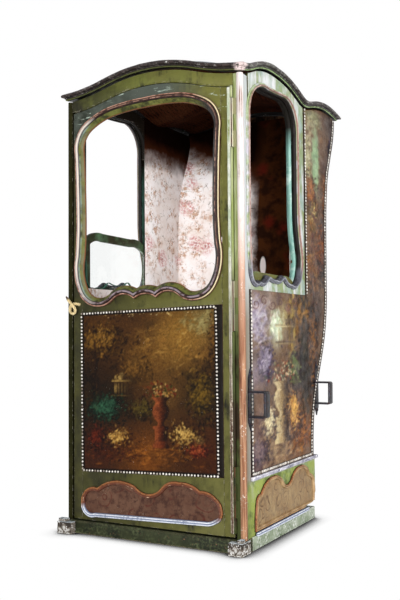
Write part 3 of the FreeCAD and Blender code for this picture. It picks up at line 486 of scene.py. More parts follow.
def oilPaint(name, sideFadeAndLight=1.0, chips=1.0, tone=None, slate=0.0, inside=True, shine=0.16):
    material, add, coord, patch = newFinish(name)
    normal = add("TexCoord", output="Normal")
    facing = add("Math", [add("SeparateXYZ", [normal], "X")], operation="ABSOLUTE")
    # Faces turned sideways take the pale mint: partly fading, partly painted light from the lamp on the
    # right
    side = add("MapRange", [facing, 0.35, 0.8, 0, sideFadeAndLight])
    x, y, z = (add("SeparateXYZ", [coord], axis) for axis in "XYZ")
    outside = add("MapRange", [add("Math", [x], operation="ABSOLUTE"), 0.3315, 0.3335])
    side = add("Math", [side, outside], operation="MULTIPLY")
    rightward = add("MapRange", [x, -0.20, 0.24])
    leftward = add("MapRange", [x, 0.02, -0.26])
    upward = add("MapRange", [z, 0.55, 1.15])
    nearPost = add("MapRange", [y, frontY + 0.090, frontY + 0.020])
    broad = patch(0.15, 0.38, 0.62)
    cloudy = patch(0.045, 0.38, 0.66)
    streaks = patch(0.018, 0.45, 0.62, stretch=(1, 1, 0.18))
    # Painted light and shade across the front: yellower towards the upper right and darker to the left, as
    # the light falls from the right
    front = coats(add, tone or paint["olive"], (paint["shade"], broad, cloudy),
                  (paint["moss"], rightward, patch(0.07, 0.34, 0.56)),
                  (paint["yellow"], rightward, upward, cloudy),
                  (paint["shade"], leftward, patch(0.10, 0.28, 0.55)),
                  (paint["grime"], streaks, patch(0.06, 0.48, 0.66)))
    if slate:
        top = zone(add, z, paint["slateFoot"], 1.7, 0.03)
        away = add("MapRange", [x, 0.22, 0.06])
        scratch = patch(0.010, 0.60, 0.66, stretch=(0.22, 1, 1), detail=6.0)
        # Painted shade: the slate top rail also darkens to the left
        front = coats(add, front, (paint["slate"], top, away), ("#23281f", top, leftward, cloudy),
                      ("#b9c9ba", top, scratch, patch(0.07, 0.42, 0.56)))
    fadedAndLit = coats(add, paint["mint"], (paint["lime"], patch(0.10, 0.36, 0.60)),
                  (paint["bluish"], patch(0.05, 0.46, 0.62)),
                  (paint["frost"], patch(0.045, 0.48, 0.64, stretch=(1, 1, 0.3))),
                  (paint["frost"], nearPost),
                  ("#b3bab8", nearPost, patch(0.02, 0.42, 0.6, stretch=(1, 1, 0.08))),
                  ("#857a68", nearPost, add("MapRange", [z, 0.86, 0.72])),
                  ("#8d9a4e", zone(add, z, -1, 0.215, 0.01), patch(0.12, 0.30, 0.46)),
                  ("#5c6a34", zone(add, z, -1, 0.215, 0.01), patch(0.05, 0.48, 0.62)))
    edge = rubbed(add, 0.003)
    flakes = patch(0.014, 0.52, 0.57, detail=8.0)
    specks = patch(0.0045, 0.69, 0.71, detail=3.0)
    handled = patch(0.08, 0.46, 0.62)
    worn = add("Math", [add("Math", [edge, flakes], operation="MULTIPLY"),
                        add("Math", [specks, handled], operation="MULTIPLY")], operation="MAXIMUM")
    worn = add("Math", [worn, chips], operation="MULTIPLY", use_clamp=True)
    # Painted shade: darker in the corners and creases that the ambient occlusion finds, mixed with patches
    # of real dirt
    open_ = add("AmbientOcclusion", {"Distance": 0.016}, "AO", samples=4)
    dirtAndShade = add("MapRange", [open_, 0.70, 0.22])
    # Inner faces: near black, painted shade of the closed interior, with patches of teal paint below about
    # 1.3 m
    if inside:
        low = add("MapRange", [z, 1.36, 1.26])
        rear = add("MapRange", [add("SeparateXYZ", [normal], "Y"), 0.7, 0.5])
        inner = add("Math", [rear, add("MapRange", [outside, 1.0, 0.0])], operation="MULTIPLY")
        dark = coats(add, paint["smoke"], (paint["teal"], low, patch(0.04, 0.3, 0.5)))
        front = coats(add, front, (dark, inner, add("MapRange", [y, frontY + 0.045, frontY + 0.055])))
    colour = coats(add, front, (fadedAndLit, side), (paint["grime"], dirtAndShade, patch(0.03, 0.2, 0.45)),
                   (paint["gesso"], worn), (paint["wood"], worn, patch(0.007, 0.54, 0.58)))
    brush = patch(paint["brushMark"], 0.2, 0.8, detail=2.0, stretch=(1, 1, 0.05))
    sheen = add("MapRange", [cloudy, 0, 1, 0.42, 0.62])
    return surface(material, add, colour, sheen, [(brush, 0.0002), (worn, -0.0004)], specular=shine)


# Front corner bead: hands and poles have worn it to pinkish gesso above and red bole below
bead = {"gesso": "#e3d8d6", "peach": "#cda48e", "bole": "#74492f", "shade": "#4a2a20", "chip": "#efe7da"}


def wornBead():
    material, add, coord, patch = newFinish("wornBoleBead")
    height = add("SeparateXYZ", [coord], "Z")
    level = add("MapRange", [height, 0.0, 1.5])
    tone = add("ValToRGB", {0: level}, stops=[(0.0, bead["bole"]), (0.44, "#8f5f45"),
                                              (0.58, bead["peach"]), (0.72, bead["gesso"])])
    lines = patch(0.005, 0.46, 0.60, stretch=(1, 1, 0.03))
    flakes = patch(0.006, 0.60, 0.64, detail=6.0)
    low = add("MapRange", [height, 0.95, 0.55])
    colour = coats(add, tone, ("#8e7466", lines, patch(0.10, 0.36, 0.56)),
                   (bead["shade"], low, patch(0.03, 0.56, 0.66, stretch=(1, 1, 0.2))),
                   ("#b98a68", low, lines), (bead["chip"], flakes, patch(0.05, 0.48, 0.6)))
    return surface(material, add, colour, 0.5, [(lines, -0.0003), (flakes, -0.0003)], specular=0.2)


# Carved limewood under gesso and worn gilding: bole and dirt lie in the hollows, gesso and
# dull gold show on the crests. "across" runs from the outer edge to the inner, "crest" is
# the height of the carving there.
carving = {"bole": "#5f3f33", "gold": "#7d5038", "umber": "#221411", "maroon": "#2a1613",
           "rub": "#b98f7c", "gesso": "#ebe2d6", "lavender": "#9c949a", "cream": "#dccda4",
           "silver": "#aeb6c6", "blue": "#5b6684", "pale": "#e6e9f0"}


def carvedDoorFrame():
    # Around the door's window: thin worn bead, dark maroon hollow, green cove, brown edge. Painted
    # light and shade: the hollow and cove are paler on the left, where they face the lamp, and the
    # cove near black on the right, facing away; the crests carry painted highlights
    material, add, coord, patch, across, crest = newFinish("carvedLimewoodDoor", "across", "crest")
    x, z = (add("SeparateXYZ", [coord], axis) for axis in "XZ")
    left = add("MapRange", [x, -0.215, -0.255])
    right = add("MapRange", [x, 0.17, 0.22])
    low = add("MapRange", [z, 0.90, 0.84])
    broad = patch(0.05, 0.38, 0.62)
    fine = patch(0.010, 0.42, 0.60)
    chips = patch(0.018, 0.40, 0.52)
    bandOuter, bandInner = zone(add, across, -1, 0.20, 0.02), zone(add, across, 0.20, 0.56, 0.02)
    colour = coats(add, carving["bole"], (carving["gold"], broad), (carving["umber"], fine, broad),
                   (carving["rub"], bandOuter, zone(add, crest, 0.52, 2, 0.06), chips),
                   (carving["maroon"], bandInner, patch(0.03, 0.22, 0.45)),
                   (carving["rub"], zone(add, crest, 0.95, 2, 0.03), chips, broad),
                   # Painted light: the hollow is pale on the left, where it faces the lamp
                   (carving["lavender"], bandInner, left),
                   (carving["gesso"], bandInner, left, zone(add, across, 0.26, 0.36, 0.02)),
                   ("#d8cbb8", bandInner, left, zone(add, across, 0.42, 0.50, 0.02)),
                   # Painted highlights: lavender on the lower crest, cream on the right-hand bead
                   ("#8c7f86", bandInner, low, zone(add, crest, 0.80, 2, 0.08), chips),
                   (carving["cream"], bandOuter, right, zone(add, crest, 0.45, 2, 0.05),
                    patch(0.05, 0.2, 0.4)), (carving["umber"], zone(add, across, 0.18, 0.235, 0.012)))
    green = coats(add, "#5a5c26", ("#71743a", broad), ("#33351a", patch(0.02, 0.44, 0.62)),
                  # Painted light: the cove is paler on the left
                  ("#76867c", left, zone(add, across, 0.56, 0.70, 0.03), broad),
                  ("#6f6a4c", left, zone(add, across, 0.74, 2, 0.04), patch(0.04, 0.4, 0.56)))
    colour = coats(add, colour, (green, zone(add, across, 0.56, 2, 0.015)),
                   # Painted shade: a dark line where the cove steps back, and the cove near black on the
                   # right
                   ("#191510", zone(add, across, 0.53, 0.565, 0.008)),
                   ("#6f4526", zone(add, across, 0.93, 1.02, 0.015), patch(0.03, 0.25, 0.45)),
                   ("#1c1310", zone(add, across, 0.56, 2, 0.02), right))
    rough = add("MapRange", [fine, 0, 1, 0.36, 0.6])
    return surface(material, add, colour, rough, [(fine, -0.0004)], specular=0.22)


def carvedSideFrame():
    # Around a side window: mint like the boards, a thin rubbed line of bole by the opening,
    # lavender grey where rain has washed the scalloped foot
    material, add, coord, patch, across = newFinish("carvedLimewoodSides", "across")
    height = add("SeparateXYZ", [coord], "Z")
    broad = patch(0.05, 0.38, 0.62)
    fine = patch(0.010, 0.44, 0.62)
    foot = add("MapRange", [height, 0.92, 0.875])
    colour = coats(add, "#a7b594", ("#8d9c66", broad), ("#c9c6cf", patch(0.04, 0.45, 0.6)),
                   ("#86665c", zone(add, across, 0.36, 0.72, 0.05)),
                   ("#c9aea4", zone(add, across, 0.44, 0.60, 0.04), patch(0.02, 0.42, 0.56)),
                   # Painted shade: near black on the inner slope, where the moulding falls into the opening
                   ("#15100d", zone(add, across, 0.76, 2, 0.03)), ("#7b7e88", foot),
                   ("#2b2a2e", foot, zone(add, across, -1, 0.10, 0.05)),
                   ("#34323a", foot, zone(add, across, 0.66, 2, 0.06)), ("#54535c", foot, fine),
                   ("#b4b6bd", foot, zone(add, across, 0.42, 0.56, 0.05), broad),
                   ("#2c2018", zone(add, across, 0.27, 0.34, 0.02), broad))
    return surface(material, add, colour, 0.5, [(fine, -0.0003)], specular=0.2)


def silveredScroll(name, silverFrom, silverTo, worn=0.0):
    # Carved frames of the aprons: bole and dull gold above, silvered along the foot
    material, add, coord, patch, across, crest = newFinish(name, "across", "crest")
    height = add("SeparateXYZ", [coord], "Z")
    broad = patch(0.05, 0.38, 0.62)
    fine = patch(0.008, 0.42, 0.60)
    foot = add("MapRange", [height, silverTo, silverFrom])
    colour = coats(add, "#8a5534", ("#a8703f", zone(add, crest, 0.7, 2, 0.1), broad),
                   ("#4a2618", fine, broad), ("#5c3222", zone(add, across, 0.5, 2, 0.1)),
                   ("#2a1711", zone(add, crest, -1, 0.3, 0.1)),
                   ("#d8b594", zone(add, crest, 0.92, 2, 0.04), patch(0.02, 0.55, 0.66)))
    if worn:            # only the outer edge keeps its bole
        colour = coats(add, colour, ("#b3966e", zone(add, across, 0.24, 2, 0.05)),
                       ("#8c6c48", zone(add, across, 0.24, 2, 0.05), broad),
                       ("#5a3826", zone(add, across, 0.40, 0.52, 0.03), patch(0.04, 0.4, 0.5)))
    metal = coats(add, carving["silver"], (carving["pale"], zone(add, crest, 0.85, 2, 0.08)),
                  (carving["blue"], zone(add, crest, -1, 0.55, 0.06)), ("#7f879c", fine, broad))
    colour = coats(add, colour, (metal, foot))
    return surface(material, add, colour, 0.45, [(fine, -0.0003)], specular=0.25)


# Leather or canvas panels painted in oils and varnished: brown glazes, fine craquelure
# across the brush marks, chips at the nailed edge
panelPaint = {"crackCell": 0.008, "crackWidth": 0.028, "grain": 0.0024, "nailBand": "#120c08"}


def oilOnLeather(name, dusty=0.0, varnish="#ffffff"):
    material, add, coord, patch, edge = newFinish(name, "edge")
    picture = add("Attribute", output="Color", attribute_name="paint")
    bend = add("TexNoise", {"Vector": coord, "Scale": 60.0, "Detail": 3.0}, "Color")
    bent = add("VectorMath", [coord, add("VectorMath", [bend, (0.006,) * 3], operation="MULTIPLY")])
    cell = add("TexVoronoi", {"Vector": bent, "Scale": 1 / panelPaint["crackCell"]}, "Distance",
               feature="DISTANCE_TO_EDGE")
    crack = add("MapRange", [cell, panelPaint["crackWidth"], 0.0])
    grain = patch(panelPaint["grain"], 0.3, 0.7, detail=3.0)
    blotch = patch(0.03, 0.35, 0.65, detail=8.0)
    speckle = patch(0.007, 0.40, 0.62, detail=6.0)
    chips = patch(0.0045, 0.70, 0.73, detail=4.0)
    warm = add("Mix", {0: 1.0, 6: picture, 7: varnish}, 2, data_type="RGBA", blend_type="MULTIPLY")
    colour = add("Mix", {0: 0.18, 6: warm, 7: coats(add, "#ffffff", ("#5a4a3a", grain))}, 2,
                 data_type="RGBA", blend_type="MULTIPLY")
    colour = add("Mix", {0: add("Math", [speckle, 0.40], operation="MULTIPLY"), 6: colour, 7: "#2c1e12"},
                 2, data_type="RGBA", blend_type="SOFT_LIGHT")
    colour = coats(add, colour, ("#1c120b", crack, patch(0.05, 0.46, 0.66)),
                   ("#d9cdbc", chips, patch(0.07, 0.50, 0.62)))
    if dusty:
        dust = add("Math", [patch(0.04, 0.42, 0.7), dusty], operation="MULTIPLY")
        colour = coats(add, colour, ("#c0b4ae", dust))
    colour = coats(add, colour, (panelPaint["nailBand"], edge))
    gloss = add("MapRange", [blotch, 0, 1, 0.36, 0.55])
    return surface(material, add, colour, gloss, [(crack, -0.0002), (grain, 0.00025)], specular=0.08)


# Printed cotton lining, pale with faded sprigs: pink rosettes about 110 mm apart, brown
# leaves and stems between them. The top and the right-hand side are browned, partly damp
# stain and partly painted shade, near black under the roof
cotton = {"ground": "#fffafa", "rose": "#cf8f8c", "roseDark": "#a45e5e", "leaf": "#7c6654",
          "ochre": "#caa48c", "stain": "#43200f", "dark": "#120603",
          "thread": 0.0012,      # its bands are drawn six times as wide, to show
          "roseSpacing": 0.105, "leafSpacing": 0.0095, "sprigSpacing": 0.050, "stemSpacing": 0.045}


def printedCotton(name, stainAndShadeFrom=1.36, stainAndShadeTo=1.44, sideStainAndShade=None, roseSize=0.30):
    material, add, coord, patch = newFinish(name)
    x, z = (add("SeparateXYZ", [coord], axis) for axis in "XZ")
    wander = add("TexNoise", {"Vector": coord, "Scale": 22.0, "Detail": 3.0}, "Color")
    place = add("VectorMath", [coord, add("VectorMath", [wander, (0.03,) * 3], operation="MULTIPLY")])
    rose = add("TexVoronoi", {"Vector": place, "Scale": 1 / cotton["roseSpacing"]}, "Distance")
    petals = patch(0.009, 0.40, 0.62, detail=3.0)
    bloom = add("MapRange", [rose, roseSize + 0.10, roseSize - 0.08])
    sprig = add("TexVoronoi", {"Vector": place, "Scale": 1 / cotton["sprigSpacing"]}, "Distance")
    spray = add("MapRange", [sprig, 0.62, 0.30])
    leaf = add("TexVoronoi", {"Vector": coord, "Scale": 1 / cotton["leafSpacing"], "Randomness": 1.0},
               "Distance")
    leaves = add("MapRange", [leaf, 0.42, 0.22])
    worn = patch(0.012, 0.40, 0.60)
    stem = add("TexVoronoi", {"Vector": place, "Scale": 1 / cotton["stemSpacing"]}, "Distance",
               feature="DISTANCE_TO_EDGE")
    stems = add("MapRange", [stem, 0.035, 0.0])
    colour = coats(add, cotton["ground"], ("#f2e6e0", patch(0.09, 0.4, 0.65)),
                   (cotton["ochre"], spray, patch(0.016, 0.46, 0.60)),
                   (cotton["leaf"], stems, worn, patch(0.05, 0.45, 0.6)),
                   (cotton["leaf"], leaves, spray, worn), (cotton["rose"], bloom, petals),
                   (cotton["roseDark"], add("MapRange", [rose, 0.16, 0.05]), petals))
    if sideStainAndShade:       # the stain and the painted shade hang lower to the right
        z = add("Math", [x, 0.5, add("Math", [z, 0.055])], operation="MULTIPLY_ADD")
    z = add("Math", [patch(0.07, 0.3, 0.7, detail=2.0), 0.03, z], operation="MULTIPLY_ADD")
    high = add("MapRange", [z, stainAndShadeFrom, stainAndShadeTo])
    uneven = patch(0.10, 0.30, 0.55)
    # Painted shade under the roof, over some damp stain: the cloth browns from this height and turns near
    # black above it
    colour = coats(add, colour, (cotton["stain"], high), (cotton["stain"], high, uneven),
                   (cotton["dark"], add("MapRange", [z, stainAndShadeTo - 0.02, stainAndShadeTo + 0.05])))
    if sideStainAndShade:
        start, end = sideStainAndShade
        dampAndShade = add("MapRange", [x, start, end])
        # A small pale oval on the darkened cloth
        palePatch = add("VectorMath", [add("VectorMath", [coord, (-0.082, 0, -0.952)]), (1.0, 0, 0.34)],
                   operation="MULTIPLY")
        palePatch = add("VectorMath", [palePatch], "Value", operation="LENGTH")
        # Painted shade on the right of the back, over some damp stain: cloth and roses darkened
        colour = coats(add, colour, ("#40220f", dampAndShade), ("#551a10", dampAndShade, bloom),
                       ("#24120a", dampAndShade, patch(0.05, 0.42, 0.6)),
                       ("#e8dedb", add("MapRange", [palePatch, 0.014, 0.011])))
    threads = add("TexWave", {"Vector": coord, "Scale": 1 / (cotton["thread"] * 20), "Distortion": 0.6},
                  "Fac", bands_direction="DIAGONAL")
    return surface(material, add, colour, 0.95, [(threads, 0.00015), (worn, 0.0003)], specular=0.02)


# Wrought iron, forged and blacked: hammer marks 11 mm across and a bluish rub on the corners
def forgedIron():
    material, add, coord, patch = newFinish("forgedIron")
    hammer = add("TexVoronoi", {"Vector": coord, "Scale": 90.0}, "Distance", feature="SMOOTH_F1")
    rust = patch(0.012, 0.55, 0.66)
    colour = coats(add, "#121116", ("#55526a", rubbed(add, 0.003), patch(0.015, 0.4, 0.6)),
                   ("#4a3026", rust))
    rough = add("MapRange", [rust, 0, 1, 0.38, 0.75])
    return surface(material, add, colour, rough, [(hammer, 0.0006), (rust, 0.0003)], Metallic=0.2,
                   specular=0.25)


# Butt hinges, painted over with the post; the slot beside the knuckles has stayed bare
def paintedHinge():
    material, add, coord, patch = newFinish("paintedOverHinge")
    x, z = (add("SeparateXYZ", [coord], axis) for axis in "XZ")
    low = add("MapRange", [z, 0.95, 0.60])
    rust = patch(0.03, 0.42, 0.56)
    slot = zone(add, x, 0.3074, 0.3108, 0.0003)
    colour = coats(add, "#8d8a66", ("#3e4524", low), ("#5b5a2e", zone(add, x, -1, 0.2985, 0.0006)),
                   ("#dcd6c0", zone(add, x, 0.3022, 0.3118, 0.0004),
                    add("Math", [1.0, low], operation="SUBTRACT")), ("#0d0907", slot),
                   ("#4a2a1c", slot, rust))
    return surface(material, add, colour, 0.6, specular=0.1)


# Tinned iron nail heads: bright crowns, with painted shade round each rim where the dome meets the leather
def tinnedNail():
    material, add = newMaterial("tinnedNail")
    rim = add("Attribute", output="Fac", attribute_name="rim")
    wear = add("Attribute", output="Fac", attribute_name="wear")
    colour = coats(add, "#ddd8d0", ("#7b6d60", wear), ("#0e0a07", zone(add, rim, 0.82, 2, 0.10)))
    rough = add("MapRange", [rim, 0, 1, 0.30, 0.8])
    return surface(material, add, colour, rough, Metallic=0.35)


# Softwood boards, sawn and darkened by age: growth lines about 14 mm apart
def agedPine(name, tone="#5a3d29", dark="#2a1a11", pale="#7a5a40"):
    material, add, coord, patch = newFinish(name)
    ring = add("TexWave", {"Vector": add("Mapping", {"Vector": coord, "Scale": (1, 1, 0.06)}),
                           "Scale": 22.0, "Distortion": 6.0, "Detail": 3.0, "Detail Scale": 2.0}, "Fac",
               bands_direction="X")
    grain = patch(0.004, 0.35, 0.65, stretch=(1, 1, 0.05))
    colour = coats(add, tone, (dark, add("MapRange", [ring, 0.4, 0.9])),
                   (pale, grain, patch(0.08, 0.4, 0.6)))
    return surface(material, add, colour, 0.85, [(grain, 0.0003)], specular=0.04)


# Soda glass with the slight ripple of old panes
def oldGlass():
    material, add, _, patch = newFinish("oldGlass")
    wavy = patch(0.05, 0.2, 0.8, detail=1.0)
    bump = add("Bump", {"Height": wavy, "Distance": 0.0004, "Strength": 1.0})
    glass = add("BsdfPrincipled", {"Base Color": "#fdfffe", "Roughness": 0.0, "IOR": 1.30,
                                   "Transmission Weight": 1.0, "Normal": bump})
    clear = add("BsdfTransparent", {"Color": "#f6fbf8"})
    path = add("LightPath", output="Is Shadow Ray")
    add("OutputMaterial", {"Surface": add("MixShader", [path, glass, clear])})
    return material


# The crown moulding: dark stained walnut over gesso, grey where the wax has bloomed, olive
# fillets below it, and a rubbed white break at the front right mitre
def darkCrown():
    material, add, coord, patch, crest = newFinish("stainedWalnutCrown", "crest")
    side = add("MapRange", [add("Math", [add("SeparateXYZ", [add("TexCoord", output="Normal")], "X")],
                                operation="ABSOLUTE"), 0.3, 0.7])
    y = add("SeparateXYZ", [coord], "Y")
    foremost = add("MapRange", [y, frontY + 0.45, frontY + 0.10])
    fine = patch(0.009, 0.42, 0.60)
    bloom = patch(0.035, 0.42, 0.62)
    dots = patch(0.008, 0.56, 0.62, detail=4.0)
    chips = patch(0.007, 0.64, 0.68, detail=6.0)
    # Faces turned sideways: mint fillets and a roll with pale specks and grey bloom, partly weathering and
    # partly painted light from the right-hand lamp
    step = coats(add, "#4e5228", ("#8ea672", side), ("#2b2f1c", fine, bloom))
    roll = coats(add, "#2c1e1b", ("#4c4340", bloom), ("#120d0c", fine),
                 ("#8a8480", dots, patch(0.05, 0.4, 0.6)),
                 ("#c9c6c0", side, patch(0.006, 0.60, 0.64, detail=4.0), patch(0.05, 0.4, 0.5)),
                 ("#a9aca2", side, foremost, bloom, patch(0.014, 0.45, 0.58)))
    colour = coats(add, step, (roll, zone(add, crest, 0.285, 2, 0.012)),
                   # Painted shade: black in the two undercut grooves; the lowest line is the dark joint at
                   # the wall
                   ("#0b0908", zone(add, crest, 0.40, 0.455, 0.012)),
                   ("#0b0908", zone(add, crest, 0.235, 0.29, 0.010)),
                   ("#0b0908", zone(add, crest, -1, 0.06, 0.010)),
                   ("#e9e8e2", chips, patch(0.05, 0.5, 0.6)))
    corner = (halfWidth + 8 * mm, frontY - 8 * mm, wallTop + 14 * mm)
    away = add("VectorMath", [coord, corner], "Value", operation="DISTANCE")
    broken = add("MapRange", [away, 0.030, 0.016])
    colour = coats(add, colour, ("#e2cfcc", broken, patch(0.012, 0.34, 0.44)))
    rough = add("MapRange", [bloom, 0, 1, 0.36, 0.6])
    return surface(material, add, colour, rough, [(fine, -0.0006), (chips, -0.0004)], specular=0.22)


# Oiled canvas over the roof boards, weathered to a pale grey-blue. The weave is drawn 10 mm
# apart, far coarser than real, to show.
def roofCanvas():
    material, add, coord, patch = newFinish("oiledRoofCanvas")
    weave = add("TexWave", {"Vector": coord, "Scale": 30.0, "Distortion": 0.8}, "Fac",
                bands_direction="DIAGONAL")
    stain = patch(0.14, 0.38, 0.65)
    fine = patch(0.02, 0.45, 0.62)
    colour = coats(add, "#bfc8d3", ("#98a1a8", stain), ("#6c6a62", fine, stain))
    return surface(material, add, colour, 0.7, [(weave, 0.0002), (fine, 0.0003)])


woods = {
    "inside": agedPine("agedPine"),
    "dark": agedPine("smokedPine", "#3d281b", "#1a100a"),
    "ceiling": agedPine("ceilingPine", "#3c1a0c", "#140805", "#54301c"),
    "smoked": agedPine("sootedPine", "#20140e", "#100a07"),
    "seat": agedPine("scrubbedPine", "#8a6a4a", "#5a3f2a"),
}
ironFinish = forgedIron()
frontPaint = oilPaint("oilPaintFront", slate=1.0, chips=0.45, inside=False)
boardPaint = oilPaint("oilPaintOverGesso")
headerPaint = oilPaint("oilPaintHeader", tone="#666a30", chips=0.5)
print("finishes mixed")


# Boards that keep the CAD's shape, with eased arrises
boards = {
    # node: finish, ease in mm, wander of the old surface in mm
    "door_stiles": (frontPaint, 1.2, 0.35),
    "door_top_rail": (frontPaint, 1.0, 0.35),
    "door_mid_rail": (frontPaint, 0.5, 0.0),
    "door_apron": (frontPaint, 0.6, 0.0),
    "front_header": (headerPaint, 1.2, 0.3),
    "side_top_rails": (boardPaint, 0.8, 0.2),
    "side_mid_stiles": (boardPaint, 0.8, 0.0),
    "side_sill_rails": (boardPaint, 0.8, 0.0),
    "side_apron_left": (boardPaint, 1.0, 0.3),
    "side_apron_right": (boardPaint, 1.0, 0.3),
    "back_apron": (boardPaint, 1.0, 0.3),
    "front_posts": (boardPaint, 0.8, 0.0),
}


def easeBoards():
    for node, (finish, ease, wander) in boards.items():
        softened(node, finish, ease, wander)
    dress(boardPaint, "rear_post_left", "rear_post_right")
    dress(woods["inside"], "side_panel_left", "side_panel_right", "back_panel", "door_panel",
          "back_lining", "door_lining")
    dress(woods["smoked"], "side_linings", "rear_header")
    dress(woods["dark"], "floor_board", "base_rear_rail", "seat_riser")
    dress(woods["seat"], "seat_board")
    softened("pole_bracket_front", ironFinish, 0.8, 0.5)
    softened("pole_brackets_rear", ironFinish, 0.8, 0.5)
    dress(paintedHinge(), "door_hinges_post", "door_hinges_door")
    dress(ironFinish, "lid_hinges_cabin", "lid_hinges_lid")


# A lip under the header narrows the gap above the door; it stays 2 mm clear of the door's
# top edge. Drops are below the wall's top, in millimetres.
lip = {"left": -312, "right": 300, "top": 39, "foot": 42.6, "front": 0.4, "back": 12, "step": 12}


def fitLip():
    stops = np.arange(lip["left"], lip["right"] + 0.1, lip["step"])
    points = []
    for x in stops:
        for drop, depth in (("top", "front"), ("foot", "front"), ("foot", "back"), ("top", "back")):
            z = wallTop + (onWave("front", x) - lip[drop]) * mm
            points.append((x * mm, depthToY(lip[depth]), z))
    faces = gridFaces(len(stops), 4, closed=True, flip=True) + endFaces(len(stops), 4, flip=True)
    newPiece("headerLip", points, faces, headerPaint, "cabin")


# A slip of wood closes the slit between the window moulding's tongue and the right stile
slip = {"left": 253, "right": 267.4, "foot": 985, "top": 1290, "front": 0.5, "back": 10}


def fitSlip():
    points = []
    for z in (slip["foot"], slip["top"]):
        for x, depth in (("left", "front"), ("right", "front"), ("right", "back"), ("left", "back")):
            points.append((slip[x] * mm, depthToY(slip[depth]), z * mm))
    faces = gridFaces(2, 4, closed=True) + endFaces(2, 4)
    newPiece("doorSlip", points, faces, frontPaint, "door")


easeBoards()
fitLip()
fitSlip()
print("boards painted")


def ringLoops(node, axis, level):
    # Outlines of a CAD ring's face on one plane, largest first, as points on that plane
    mesh = frame["nodes"][node].data
    kept = [i for i in range(3) if i != axis]
    edges = {}
    for polygon in mesh.polygons:
        corners = [mesh.vertices[i].co for i in polygon.vertices]
        if all(abs(c[axis] - level) < 0.05 * mm for c in corners):
            keys = [tuple(round(c[i] / mm, 2) for i in kept) for c in corners]
            for a, b in zip(keys, keys[1:] + keys[:1]):
                edges[frozenset((a, b))] = edges.get(frozenset((a, b)), 0) + 1
    nextTo = {}
    for edge, count in edges.items():
        if count == 1 and len(edge) == 2:
            a, b = edge
            nextTo.setdefault(a, []).append(b)
            nextTo.setdefault(b, []).append(a)
    loops, seen = [], set()
    for start in sorted(nextTo):
        if start in seen:
            continue
        loop, here, before = [], start, None
        while here not in seen:
            seen.add(here)
            loop.append(here)
            options = [p for p in nextTo[here] if p != before and p not in seen]
            before = here
            if not options:
                break
            here = options[0]
        loops.append(np.array(loop))
    loops.sort(key=lambda p: -abs(areaOf(p)))
    return [p if areaOf(p) > 0 else p[::-1] for p in loops]


def areaOf(loop):
    x, y = loop[:, 0], loop[:, 1]
    return 0.5 * float(np.sum(x * np.roll(y, -1) - np.roll(x, -1) * y))


def evenLoop(loop, pitch):
    # The loop again with points at an even pitch, in millimetres
    closed = np.vstack([loop, loop[:1]])
    steps = np.hypot(*(closed[1:] - closed[:-1]).T)
    along = np.concatenate([[0], np.cumsum(steps)])
    count = max(12, int(along[-1] / pitch))
    places = np.linspace(0, along[-1], count, endpoint=False)
    return np.stack([np.interp(places, along, closed[:, i]) for i in (0, 1)], 1)


def pairLoops(outer, inner):
    # Stations across a ring: each point with the nearest one on the other outline
    gaps = np.linalg.norm(outer[:, None] - inner[None], axis=2)
    start = np.unravel_index(np.argmin(gaps), gaps.shape)
    outer, inner = np.roll(outer, -start[0], 0), np.roll(inner, -start[1], 0)
    gaps = np.linalg.norm(outer[:, None] - inner[None], axis=2)
    m, n = gaps.shape
    pairs = [(i, int(np.argmin(gaps[i]))) for i in range(m)]
    pairs += [(int(np.argmin(gaps[:, j])), j) for j in range(n)]
    pairs = [p for p in pairs if abs(p[0] / m - p[1] / n) < 0.25]
    pairs = sorted(set(pairs), key=lambda p: (p[0] / m + p[1] / n, p))
    kept = []
    for i, j in pairs:
        if not kept or (i >= kept[-1][0] and j >= kept[-1][1]):
            kept.append((i, j))
    return [(outer[i], inner[j]) for i, j in kept]


def ringStations(node, axis, level, pitch):
    # Stations round a CAD ring at that pitch, and its inner outline
    outer, inner = ringLoops(node, axis, level)[:2]
    return pairLoops(evenLoop(outer, pitch), evenLoop(inner, pitch)), inner


def layMoulding(name, stations, section, place, finish, body, stands=(), rough=0.35,
                seed=0.0, flip=False):
    # A carved ring: the section's rows are across from the outer edge and height in
    # millimetres; the last rows, with a third value, close it behind the face
    tallest = max(row[1] for row in section)
    points, across, crest = [], [], []
    for out, into in stations:
        for share, height, *hidden in section:
            u, v = out + (into - out) * share
            carve = 0
            if not hidden and rough:
                carve = ripple(u * 0.035, v * 0.035, share * 3 + seed) * rough * 1.6
                carve += ripple(u * 0.16, v * 0.16, share * 5 + seed) * rough
                carve *= min(1.0, max(0.0, height / 6))
            points.append(place(u, v, height + carve))
            across.append(share)
            crest.append(height / tallest)
    faces = gridFaces(len(stations) + 1, len(section), closed=True, flip=flip)
    total = len(points)
    faces = [[i % total for i in face] for face in faces]
    return newPiece(name, points, faces, finish, body, stands,
                    {"across": across, "crest": crest})


def onDoor(u, v, height):
    return (u * mm, frontY - height * mm, v * mm)


def onSide(side):
    # The CAD's loops on a side wall are in y and z
    return lambda u, v, height: (side * (halfWidth + height * mm), u * mm, v * mm)


